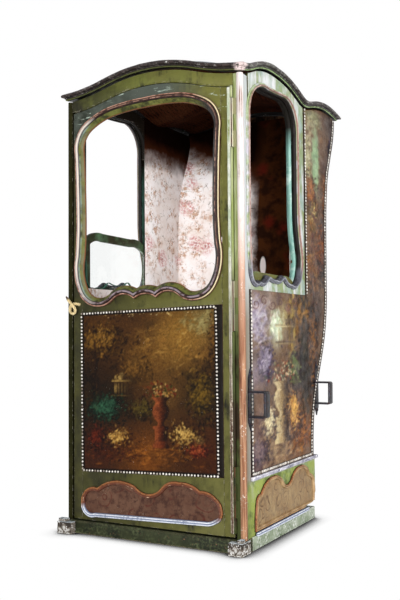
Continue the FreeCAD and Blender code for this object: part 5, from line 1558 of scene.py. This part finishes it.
def coloursAt(canvas, places, width, height):
    # Linear colours of the canvas at places given in millimetres from its lower left corner
    rows, columns = canvas.shape[:2]
    x = np.clip(np.array([p[0] for p in places]) / width * columns - 0.5, 0, columns - 1.001)
    y = np.clip(np.array([p[1] for p in places]) / height * rows - 0.5, 0, rows - 1.001)
    i, j = x.astype(int), y.astype(int)
    s, t = (x - i)[:, None], (y - j)[:, None]
    low = canvas[j, i] * (1 - s) + canvas[j, i + 1] * s
    high = canvas[j + 1, i] * (1 - s) + canvas[j + 1, i + 1] * s
    tone = low * (1 - t) + high * t
    return np.where(tone < 0.04045, tone / 12.92, ((tone + 0.055) / 1.055) ** 2.4)


# Painted leather, stretched over the boards and tucked down at its nailed edges
leather = {
    "lift": 1.0, "rise": 1.6, "edge": 9.0, "wave": 0.5, "cellDoor": 2.6, "cellSide": 3.4,
    "cellBack": 6.0, "band": 13.0, "margin": 0.5, "fall": 0.03, "sideSize": (830, 1330),
    # foot, top where it isn't the wall's own, usual height, height where it is measured, front
    "sideParts": [(229, 818, 589, 523.5, 46), (818, None, 702, 1164, 526.5)],
    "backHalf": 301.5, "backFoot": 232, "backTop": 1460, "backSize": (604, 1250), "backRise": 1238,
}


def leatherLift(u, v, gap, seed):
    # How far the leather stands from the board, in mm, gap mm in from its edge
    if gap <= 0.1:
        return 0.1
    full = leather["rise"] * (1 - math.exp(-gap / leather["edge"]))
    full += ripple(u * 0.010, v * 0.010, seed) * leather["wave"] * min(1, gap / 30)
    full += ripple(u * 0.045, v * 0.045, seed) * 0.25
    return leather["lift"] + full


# Domed nails at even steps along each edge of the leather
nails = {"across": 8.8, "height": 4.8, "pitch": 11.8, "sides": 10, "jitter": 0.5, "lift": 1.3,
         "backInset": 29, "front": 52, "foot": 236, "shoulder": 812, "windowRear": 533,
         "window": (826, 1508), "sideSize": 1.35,
         # half the distance between the rows, half a row, foot, top
         "back": (294, 282, 238, 1454)}
doorNails = {"corners": [(-280, 751), (245, 764), (250, 232), (-276, 215)], "band": 8.0}


def insideNails(x, z):
    # How far a place on the door lies inside the line of its nails, in millimetres
    corners = [Vector(corner) for corner in doorNails["corners"]]
    gaps = []
    for a, b in zip(corners, corners[1:] + corners[:1]):
        ahead = (b - a).normalized()
        gaps.append(ahead.y * (x - a.x) - ahead.x * (z - a.y))
    return min(gaps)


def layLeather(name, points, faces, finish, body, picture, places, size, gaps, band=1.0):
    # A painted sheet: its picture, and the dark band along its nailed edge
    edge = [band * min(1.0, max(0.0, (leather["band"] + 1.5 - gap) / 3)) for gap in gaps]
    piece = newPiece(name, points, faces, finish, body, fields={"edge": edge})
    addPainting(piece, coloursAt(picture, places, *size))
    return piece


def coverDoor():
    low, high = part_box("door_panel")
    left, right = low.x / mm + leather["margin"], high.x / mm - leather["margin"]
    fall = (right - left) * leather["fall"]
    foot, top = low.z / mm + leather["margin"], high.z / mm - leather["margin"]
    topLeft, topRight = Vector((left, top - fall)), Vector((right, top))
    lowRight, lowLeft = Vector((right, foot + fall)), Vector((left, foot))
    wide, tall = (topRight - topLeft).length, (topLeft - lowLeft).length
    columns, rows = int(wide / leather["cellDoor"]), int(tall / leather["cellDoor"])
    points, places, gaps = [], [], []
    for i, j in np.ndindex(rows + 1, columns + 1):
        s, t = j / columns, i / rows
        spot = lowLeft.lerp(lowRight, s).lerp(topLeft.lerp(topRight, s), t)
        gap = min(s * wide, (1 - s) * wide, t * tall, (1 - t) * tall)
        points.append(onDoor(spot.x, spot.y, leatherLift(spot.x, spot.y, gap, 3)))
        places.append((s * wide, t * tall))
        gaps.append(insideNails(spot.x, spot.y) + leather["band"] - doorNails["band"])
    piece = layLeather("doorPainting", points, gridFaces(rows + 1, columns + 1),
                       oilOnLeather("oilOnLeatherDoor", varnish="#fff4dc"), "door",
                       paintScene(wide, tall, doorScene, 11), places, (wide, tall), gaps)


def coverSides():
    finish = oilOnLeather("oilOnLeatherSides", dusty=0.12)
    picture = paintScene(*leather["sideSize"], sideScene, 23)
    foot, *_, start = leather["sideParts"][0]
    window = leather["sideParts"][1][-1]
    for side, word in walls:
        points, faces, places, gaps = [], [], [], []
        for low, high, tall, middle, front in leather["sideParts"]:
            columns = int((onWave("back", middle) - front) / leather["cellSide"])
            rows, first = int(tall / leather["cellSide"]), len(points)
            for i, j in np.ndindex(rows + 1, columns + 1):
                s, t = j / columns, i / rows
                z = low + t * tall
                for _ in range(4):        # the rear edge and the top follow the waves
                    depth = front + s * (onWave("back", z) - 1.5 - front)
                    top = high or wallTop / mm + onWave("side", depth) - 2.5
                    z = low + t * (top - low)
                rear = onWave("back", z)
                gap = min(depth - front, rear - 1.5 - depth, min(99, z - low) if high else top - z)
                if high and depth < window - 0.5:
                    gap = min(gap, high - z)
                points.append(onSide(side)(depthToY(depth) / mm, z, leatherLift(depth, z, gap, 7 * side)))
                places.append((depth - start, z - foot))
                gaps.append(3 + min(depth - front + (5 if depth > 500 else 0), max(z - foot, 0),
                                    rear - nails["backInset"] + 3 - depth))
            faces += gridFaces(rows + 1, columns + 1, first, flip=side < 0)
        piece = layLeather(f"sidePainting{word}", points, faces, finish, "cabin", picture, places,
                           leather["sideSize"], gaps, band=0.8)


def coverBack():
    half, foot, top = leather["backHalf"], leather["backFoot"], leather["backTop"]
    wide, tall = leather["backSize"]
    columns, rows = int(wide / leather["cellBack"]), int(leather["backRise"] / leather["cellBack"])
    points, places, gaps = [], [], []
    for i, j in np.ndindex(rows + 1, columns + 1):
        x, z = -half + 2 * half * j / columns, foot + (top - foot) * i / rows
        gap = min(x + half, half - x, z - foot, top - z)
        points.append(metres(x, onWave("back", z) + leatherLift(x, z, gap, 5), z))
        places.append((half - x, z - foot))
        gaps.append(gap)
    piece = layLeather("backPainting", points, gridFaces(rows + 1, columns + 1, flip=True),
                       oilOnLeather("oilOnLeatherBack", dusty=0.2), "cabin",
                       paintScene(wide, tall, backScene, 37), places, (wide, tall), gaps)


coverDoor()
coverSides()
coverBack()
print("leather stretched")


def domeNails(name, rows, body, seed, size=1.0):
    # Rows: a nail's place and the direction out of the surface there
    draw = random.Random(seed)
    points, faces, rim, wear = [], [], [], []
    sides = nails["sides"]
    rings = [(1.0, 0.0), (0.96, 0.30), (0.78, 0.66), (0.45, 0.90)]
    for place, out in rows:
        helper = Vector((0, 0, 1)) if abs(out.z) < 0.9 else Vector((1, 0, 0))
        a = helper.cross(out).normalized()
        b = out.cross(a)
        place = place + (a * draw.uniform(-1, 1) + b * draw.uniform(-1, 1)) * nails["jitter"] * mm
        radius = nails["across"] * size / 2 * mm * draw.uniform(0.93, 1.05)
        tilt = a * draw.uniform(-0.12, 0.12) + b * draw.uniform(-0.12, 0.12)
        age, first = draw.random() ** 2, len(points)
        for share, rise in rings:
            for k in range(sides):
                turn = math.tau * k / sides
                spoke = a * math.cos(turn) + b * math.sin(turn)
                lean = spoke.dot(tilt) * radius * share
                points.append(place + spoke * radius * share + out * (rise * nails["height"] * mm + lean))
                rim.append(share)
                wear.append(age)
        points.append(place + out * nails["height"] * mm)
        rim.append(0)
        wear.append(age)
        faces += gridFaces(len(rings), sides, first, closed=True)
        top = first + (len(rings) - 1) * sides
        faces += [[top + k, top + (k + 1) % sides, len(points) - 1] for k in range(sides)]
    return newPiece(name, points, faces, nailFinish, body, fields={"rim": rim, "wear": wear})


def evenly(points, closed=False):
    # Places at the nails' pitch along a line through the points
    line = [Vector(p) for p in points] + ([Vector(points[0])] if closed else [])
    steps = [(b - a).length for a, b in zip(line, line[1:])]
    total = sum(steps)
    count = max(1, round(total / nails["pitch"]))
    places, k, passed = [], 0, 0.0
    for i in range(count + (0 if closed else 1)):
        target = total * i / count
        while k < len(steps) - 1 and passed + steps[k] < target:
            passed += steps[k]
            k += 1
        places.append(line[k].lerp(line[k + 1], min(1, (target - passed) / steps[k])))
    return places


def driveNails():
    lift, inset = leather["lift"] + nails["lift"], nails["backInset"]
    places = evenly(doorNails["corners"], closed=True)
    row = [(Vector(onDoor(p.x, p.y, lift)), Vector((0, -1, 0))) for p in places]
    domeNails("doorNails", row, "door", 5)
    front, foot, rear = nails["front"], nails["foot"], nails["windowRear"]
    lines = [[(front, nails["shoulder"]), (front, foot)],
             [(front, foot), (onWave("back", foot) - inset, foot)],
             [(onWave("back", z) - inset, z) for z in range(foot + 2, 1536, 8)],
             [(rear, z) for z in nails["window"]]]
    for side, word in walls:
        row = [(Vector(onSide(side)(depthToY(p.x) / mm, p.y, lift)), Vector((side, 0, 0)))
               for line in lines for p in evenly(line)]
        domeNails(f"sideNails{word}", row, "cabin", 9 + side, nails["sideSize"])
    row = []
    edge, end, low, high = nails["back"]
    for x in (-edge, edge):
        for p in evenly([(x, z) for z in range(low, high + 2, 8)]):
            slope = (onWave("back", p.y + 4) - onWave("back", p.y - 4)) / 8
            row.append((Vector(metres(p.x, onWave("back", p.y) + lift, p.y)),
                        Vector((0, 1, -slope)).normalized()))
    for z in (low, high):
        for p in evenly([(-end, z), (end, z)]):
            row.append((Vector(metres(p.x, onWave("back", z) + lift, z)), Vector((0, 1, 0))))
    domeNails("backNails", row, "cabin", 13)


nailFinish = tinnedNail()
driveNails()
print("nails driven")


# Cotton lining, tacked along its edges over thin wadding
lining = {
    "cell": 9.0, "wall": 302.0, "puff": 5.0, "inset": 34.0, "fold": 6.0,
    "back": (301, 505, 1575),                    # half width, foot, top
    "door": (-276, 262, 58, 794, 28.5),          # left, right, foot, top, depth
    "side": (58, 60, 844, 1545, 40),             # front, foot, window's foot, top, rear inset
    "windowRear": {-1: 438, 1: 470},
}


def liningPuff(u, v, gap, seed):
    full = lining["puff"] * (1 - math.exp(-max(0, gap) / 22))
    full += ripple(u * 0.006, v * 0.004, seed) * 3.0 * min(1, gap / 60)
    full += ripple(u * 0.02, v * 0.012, seed) * 0.8 * min(1, gap / 40)
    return 0.8 + full


def hangBack():
    # One sheet from wall to wall, drawn forward where it turns the corners
    clean = printedCotton("printedCotton", stainAndShadeFrom=1.33, stainAndShadeTo=1.42, sideStainAndShade=(0.008, 0.062))
    half, low, high = lining["back"]
    columns, rows = int(2 * half / lining["cell"]), int((high - low) / lining["cell"])
    points = []
    for i, j in np.ndindex(rows + 1, columns + 1):
        x, z = -half + 2 * half * j / columns, low + (high - low) * i / rows
        gap = min(x + half, half - x, z - low, high - z)
        turned = 34 * math.exp(-(half - abs(x)) / 26)
        fold = lining["fold"] * math.exp(-((x + 120 - 0.10 * (z - 1000)) / 9) ** 2)
        z = min(z, wallTop / mm + onWave("front", x) + onWave("side", 820) + 4)
        depth = onWave("back", min(z, 1500)) - lining["inset"] - turned
        points.append(metres(x, depth - liningPuff(x, z, gap, 2) + fold * min(1, gap / 60), z))
    piece = newPiece("backCotton", points, gridFaces(rows + 1, columns + 1), clean, "cabin")


def hangSides(cloth):
    start, foot, sill, top, inset = lining["side"]
    for side, word in walls:
        faces, points = [], []
        near = lining["windowRear"][side]
        for front, low, high in ((start, foot, sill), (near, sill, top)):
            columns = int((onWave("back", (low + high) / 2) - inset - front) / lining["cell"])
            rows, first = int((high - low) / lining["cell"]), len(points)
            for i, j in np.ndindex(rows + 1, columns + 1):
                z = low + (high - low) * i / rows
                back = onWave("back", z) - inset
                depth = front + (back - front) * j / columns
                gap = min(depth - front, back - depth, z - low if low == foot else 99,
                          high - z if high == top or depth < near else 99)
                rise = liningPuff(depth, z, gap, 4 + side)
                points.append(metres(side * (lining["wall"] - rise), depth, z))
            faces += gridFaces(rows + 1, columns + 1, first, flip=side > 0)
        piece = newPiece(f"sideCotton{word}", points, faces, cloth, "cabin")


def hangDoor(cloth):
    left, right, foot, top, depth = lining["door"]
    columns, rows = int((right - left) / lining["cell"]), int((top - foot) / lining["cell"])
    points = []
    for i, j in np.ndindex(rows + 1, columns + 1):
        x, z = left + (right - left) * j / columns, foot + (top - foot) * i / rows
        gap = min(x - left, right - x, z - foot, top - z)
        points.append(metres(x, depth + liningPuff(x, z, gap, 8), z))
    piece = newPiece("doorCotton", points, gridFaces(rows + 1, columns + 1, flip=True), cloth, "door")


hangBack()
sideCotton = printedCotton("printedCottonSides")
hangSides(sideCotton)
hangDoor(sideCotton)
print("linings hung")


# Seat cushion in worn green wool repp, stuffed and a little crowned. The ribs are drawn 6 mm
# apart, to show.
cushionShape = {"shrink": 0.97, "voxel": 9.0, "pressure": 4.0, "steps": 20, "most": 14.0}


def woolRepp():
    material, add, coord, patch = newFinish("woolRepp")
    rib = add("TexWave", {"Vector": coord, "Scale": 52.0, "Distortion": 0.4}, "Fac", bands_direction="Y")
    fade = patch(0.09, 0.38, 0.64)
    lint = patch(0.003, 0.60, 0.68)
    colour = coats(add, "#5f6a3c", ("#7d8150", fade), ("#474f2c", rib, patch(0.03, 0.3, 0.6)),
                   ("#a8a27c", lint, fade))
    return surface(material, add, colour, 0.92, [(rib, 0.0007)], Sheen_Weight=0.35)


def stuffCushion():
    source = frame["nodes"]["seat_cushion"]
    mesh = source.data.copy()
    mesh.name = "seatCushion"
    piece = linked("seatCushion", mesh)
    shape = bmesh.new()
    shape.from_mesh(mesh)
    bmesh.ops.remove_doubles(shape, verts=shape.verts, dist=0.01 * mm)
    low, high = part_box("seat_cushion")
    middle = (low + high) / 2
    for point in shape.verts:
        point.co = middle + (point.co - middle) * cushionShape["shrink"]
        point.co.z = max(point.co.z, low.z + 1 * mm)
    shape.to_mesh(mesh)
    shape.free()
    remesh = piece.modifiers.new("remesh", "REMESH")
    remesh.mode, remesh.voxel_size = "VOXEL", cushionShape["voxel"] * mm
    freeze(piece)
    rest = [v.co.copy() for v in piece.data.vertices]
    cloth = piece.modifiers.new("stuffing", "CLOTH")
    cloth.settings.use_pressure = True
    cloth.settings.uniform_pressure_force = cushionShape["pressure"]
    cloth.settings.effector_weights.gravity = 0
    for step in range(1, cushionShape["steps"] + 1):
        scene.frame_set(step)
    freeze(piece)
    scene.frame_set(1)
    most = cushionShape["most"] * mm
    for point, start in zip(piece.data.vertices, rest):
        move = point.co - start
        if move.length > most:
            move *= most / move.length
        point.co = start + move
        point.co.z = max(point.co.z, low.z + 0.3 * mm)
        point.co.x = min(max(point.co.x, low.x - 5 * mm), high.x + 5 * mm)
    smooth = piece.modifiers.new("smooth", "SUBSURF")
    smooth.levels = smooth.render_levels = 1
    freeze(piece)
    piece.data.materials.clear()
    piece.data.materials.append(woolRepp())
    for polygon in piece.data.polygons:
        polygon.use_smooth = True
    settle(piece, "cabin", ["seat_cushion"])


stuffCushion()
print("cushion stuffed")


# Leaf green beside the hinges, streaked above and darker towards the bottom
def leafGreenPaint():
    material, add, coord, patch = newFinish("leafGreenBead")
    x, height = (add("SeparateXYZ", [coord], axis) for axis in "XZ")
    low = add("MapRange", [height, 0.95, 0.60])
    streaks = patch(0.012, 0.45, 0.6, stretch=(1, 1, 0.08))
    colour = coats(add, "#7f8a50", ("#a3a880", streaks), ("#3e4524", low),
                   ("#2c2216", low, patch(0.03, 0.5, 0.6, stretch=(1, 1, 0.3))),
                   ("#ddd8c8", zone(add, x, 0.3, 0.3042, 0.0006), patch(0.03, 0.38, 0.46)))
    return surface(material, add, colour, 0.6, [(streaks, -0.0002)], specular=0.12)


leafGreen = leafGreenPaint()


# The posts: a bead of worn bole on each outer corner, the left post darker than the right
def finishPosts():
    piece = bpy.data.objects["frontPosts"]
    # The left post gets a darker copy of the paint: painted shade
    shaded = oilPaint("oilPaintShaded", sideFadeAndLight=0.8, tone="#191b10", chips=0.3, shine=0.0)
    for finish in (wornBead(), shaded, leafGreen):
        piece.data.materials.append(finish)
    axisX, axisY, radius = halfWidth - 6.5 * mm, depthToY(6.5), 11 * mm
    for polygon in piece.data.polygons:
        corners = [piece.data.vertices[i].co for i in polygon.vertices]
        gaps = [abs(math.hypot(abs(c.x) - axisX, c.y - axisY) - radius) for c in corners]
        if polygon.center.x < 0:
            polygon.material_index = 2
        elif max(gaps) < 0.5 * mm and abs(polygon.normal.z) < 0.5:
            polygon.material_index = 1
        elif polygon.normal.x < 0.5:
            polygon.material_index = 3


finishPosts()

# Half-round strip down the door's hinge side: gesso showing through chipped paint
strip = {"left": 289.5, "right": 301.5, "proud": 5.0, "foot": 60, "top": 1462, "step": 6.0}


def chippedStrip():
    material, add, coord, patch, crest = newFinish("chippedGessoStrip", "crest")
    height = add("SeparateXYZ", [coord], "Z")
    low = add("MapRange", [height, 0.95, 0.45])
    tall = patch(0.012, 0.46, 0.60, stretch=(1, 1, 0.16), detail=8.0)
    fine = patch(0.006, 0.50, 0.60)
    colour = coats(add, "#dedfd4", ("#b3bfa4", patch(0.05, 0.42, 0.60)), ("#a69683", low),
                   ("#6b4c3c", tall, low), ("#e4dccb", fine, low, patch(0.05, 0.35, 0.55)),
                   ("#3c2418", zone(add, crest, 0.93, 2, 0.03), low, patch(0.03, 0.3, 0.5)),
                   ("#7f8a4c", tall, patch(0.07, 0.52, 0.6)),
                   ("#4b3a2c", zone(add, crest, -1, 0.22, 0.08), fine))
    return surface(material, add, colour, 0.5, [(tall, -0.0005), (fine, -0.0003)], specular=0.2)


def addStrip():
    middle, half = (strip["left"] + strip["right"]) / 2, (strip["right"] - strip["left"]) / 2
    arc = [(math.cos(math.pi * k / 8), math.sin(math.pi * k / 8)) for k in range(9)]
    section = [(c * half, max(0.2, s * strip["proud"]), s) for c, s in arc]
    levels = np.arange(strip["foot"], strip["top"] + 0.1, strip["step"])
    points, crest = [], []
    for z in levels:
        for across, proud, share in section:
            chip = ripple(across * 0.12, z * 0.035, 2) * 1.1 \
                + ripple(across * 0.3, z * 0.15, 5) * 0.7
            points.append(onDoor(middle - across + chip * 0.5, z, max(0.2, proud + min(0.3, chip) * share)))
            crest.append(share)
    n = len(section)
    faces = gridFaces(len(levels), n, closed=True, flip=True) + endFaces(len(levels), n, flip=True)
    newPiece("doorStrip", points, faces, chippedStrip(), "door", fields={"crest": crest})


addStrip()


# Round bead that turns with the door on the hinges' own line and hides the gap
barrel = {"x": 307, "depth": -6, "radius": 4.6, "sides": 14,
          "runs": [(62, 108), (268, 684), (844, 1263), (1423, 1460)]}


def addBarrel():
    points, faces, sides = [], [], barrel["sides"]
    for foot, top in barrel["runs"]:
        first, levels = len(points), np.linspace(foot, top, max(3, int((top - foot) / 30)))
        for z in levels:
            for k in range(sides):
                turn = math.tau * k / sides
                points.append(metres(barrel["x"] + math.cos(turn) * barrel["radius"],
                                     barrel["depth"] + math.sin(turn) * barrel["radius"], z))
        faces += gridFaces(len(levels), sides, first, closed=True) + endFaces(len(levels), sides, first)
    newPiece("doorBarrel", points, faces, leafGreen, "door")


addBarrel()


# Base: rails, sill and ledge stand in the wet and have gone grey-green, scuffed to gesso
def weatheredPaint(name, tone, light, dark, scuff):
    material, add, _, patch = newFinish(name)
    broad = patch(0.07, 0.38, 0.62)
    fine = patch(0.009, 0.46, 0.60)
    edge = rubbed(add, 0.004)
    colour = coats(add, tone, (dark, broad), (light, fine, patch(0.05, 0.40, 0.6)),
                   (scuff, edge, patch(0.012, 0.36, 0.5)), ("#7a5a42", patch(0.006, 0.64, 0.68), broad))
    return surface(material, add, colour, 0.65, [(fine, -0.0004)], specular=0.15)


basePaint = weatheredPaint("weatheredBasePaint", "#98a28e", "#d6d9d3", "#66755a", "#e8e6df")
sillPaint = weatheredPaint("weatheredSillPaint", "#30341f", "#4a5136", "#1c2014", "#a89a7c")
ledgePaint = weatheredPaint("silveredLedge", "#b7b6c2", "#e7e5ee", "#6a6a7c", "#f4f2f6")
softened("base_side_rails", basePaint, 1.6, 0.6)
softened("front_sill", sillPaint, 1.4, 0.5)
softened("apron_ledge", ledgePaint, 1.6, 0.5)
print("base finished")


# Carved blocks on the front corners: a leaf in relief on each face, gesso worn to brown
blocks = {
    # side, inner and outer edge, front and back edge, foot, top in millimetres
    "parts": [(-1, 302, 362, -38, -10.3, 0, 40), (-1, 326, 360, -33, -10.3, 40, 50),
              (1, 296, 347, -38, -10.3, 0, 40), (1, 326, 346, -33, -10.3, 40, 50),
              (1, 342.3, 347, -10.3, 25, 0, 40)],
    "cell": 2.2,
    "relief": 2.2,
}


def blockFinish():
    material, add, _, patch, crest = newFinish("carvedBlockGesso", "crest")
    up = add("MapRange", [add("SeparateXYZ", [add("TexCoord", output="Normal")], "Z"), 0.4, 0.9])
    fine = patch(0.006, 0.42, 0.62)
    colour = coats(add, "#6f675c", ("#c4c2bd", zone(add, crest, 0.66, 2, 0.12)),
                   ("#2c2620", zone(add, crest, -2, 0.36, 0.12)), ("#5a4636", fine, patch(0.02, 0.4, 0.6)),
                   ("#e9e9e6", patch(0.006, 0.54, 0.60), patch(0.02, 0.4, 0.55)), ("#dfe6ea", up),
                   ("#8a98a0", up, fine))
    return surface(material, add, colour, 0.65, [(fine, -0.0004)], specular=0.2)


def leafRelief(u, v):
    # Height of a curled leaf on a face whose sides run from -1 to 1
    spread = math.hypot(u, v * 0.9 + 0.55)
    turn = math.atan2(u, v + 0.75)
    lobes = 0.5 + 0.5 * math.cos(turn * 7)
    body = max(0.0, 1 - (spread / 1.45) ** 4)
    return body * (0.35 + 0.65 * lobes) * (0.4 + 0.6 * math.sin(min(1, spread) * math.pi * 0.9))


def carveBlocks():
    points, faces, crest = [], [], []
    for side, inner, outer, front, back, foot, top in blocks["parts"]:
        faces += cast(Vector((inner, front, foot)), Vector((outer, back, top)), side, points, crest)
    newPiece("cornerBlocks", points, faces, blockFinish(), "cabin", ["front_corner_blocks"],
             {"crest": crest})


def cast(low, high, side, points, crest):
    # A closed block whose front and outer faces carry the relief, its arrises worn round
    size = high - low
    counts = [max(2, round(s / blocks["cell"])) for s in size]
    index = {}

    def at(i, j, k):
        key = (i, j, k)
        if key not in index:
            share = Vector((i / counts[0], j / counts[1], k / counts[2]))
            place = Vector([low[a] + size[a] * share[a] for a in range(3)])
            u, w, v = (share * 2 - Vector((1, 1, 1)))
            height = 0.5
            if j == 0 or i == counts[0]:
                height = leafRelief(u if j == 0 else w, v)
                step = (height - 1) * blocks["relief"]
                edge = max(0, 1 - (1 - abs(v)) * 4)
                if j == 0:
                    place.y -= step * (1 - edge)
                if i == counts[0]:
                    place.x += step * (1 - edge)
            middle = (low + high) / 2
            for a in range(3):
                others = [abs(share[b] * 2 - 1) for b in range(3) if b != a]
                if max(others) > 0.985 and abs(share[a] * 2 - 1) > 0.985:
                    place[a] += (middle[a] - place[a]) / abs(middle[a] - place[a]) * 1.0
            place += noise.noise_vector(place * 0.12) * 0.5
            index[key] = len(points)
            points.append((side * place.x * mm, depthToY(place.y), place.z * mm))
            crest.append(height)
        return index[key]

    quads, turns = [], (((0, 0), (1, 0), (1, 1), (0, 1)), ((0, 0), (0, 1), (1, 1), (1, 0)))
    a, b, c = counts
    for p, q, across, levels in ((0, 2, 1, (0, b)), (1, 2, 0, (a, 0)), (0, 1, 2, (c, 0))):
        for m, n in np.ndindex(counts[p], counts[q]):
            for level, corners in zip(levels, turns):
                quad = []
                for s, t in corners:
                    key = [0, 0, 0]
                    key[p], key[q], key[across] = m + s, n + t, level
                    quad.append(at(*key))
                quads.append(quad)
    return quads if side > 0 else [q[::-1] for q in quads]


carveBlocks()
print("blocks carved")


# Sashes: narrow painted frames in the walls' pockets, with their panes
def glazeSashes():
    softened("side_sashes", oilPaint("oilPaintSash", sideFadeAndLight=0.25, tone="#5f8660", inside=False),
             1.2, 0.4)
    dress(oldGlass(), "sash_glass")


glazeSashes()

# Two bolts hold each bracket's plate
bolts = {"radius": 6.0, "height": 4.0, "sides": 12, "heights": (392, 552),
         "places": ((1, 45.5), (1, 621.5), (-1, 621.5))}


def addBolts():
    points, faces, sides = [], [], bolts["sides"]
    rings = [(1.0, 0.0), (1.0, 0.35), (0.86, 0.75), (0.5, 1.0)]
    for side, depth in bolts["places"]:
        for z in bolts["heights"]:
            first = len(points)
            for share, rise in rings:
                reach, radius = halfWidth / mm + 4 + rise * bolts["height"], bolts["radius"] * share
                for k in range(sides):
                    turn = math.tau * k / sides
                    points.append(metres(side * reach, depth + math.cos(turn) * radius,
                                         z + math.sin(turn) * radius))
            faces += gridFaces(len(rings), sides, first, closed=True, flip=side < 0)
            faces += endFaces(len(rings), sides, first, flip=side < 0)[1:]
    newPiece("bracketBolts", points, faces, ironFinish, "cabin")


addBolts()
print("ironwork fitted")
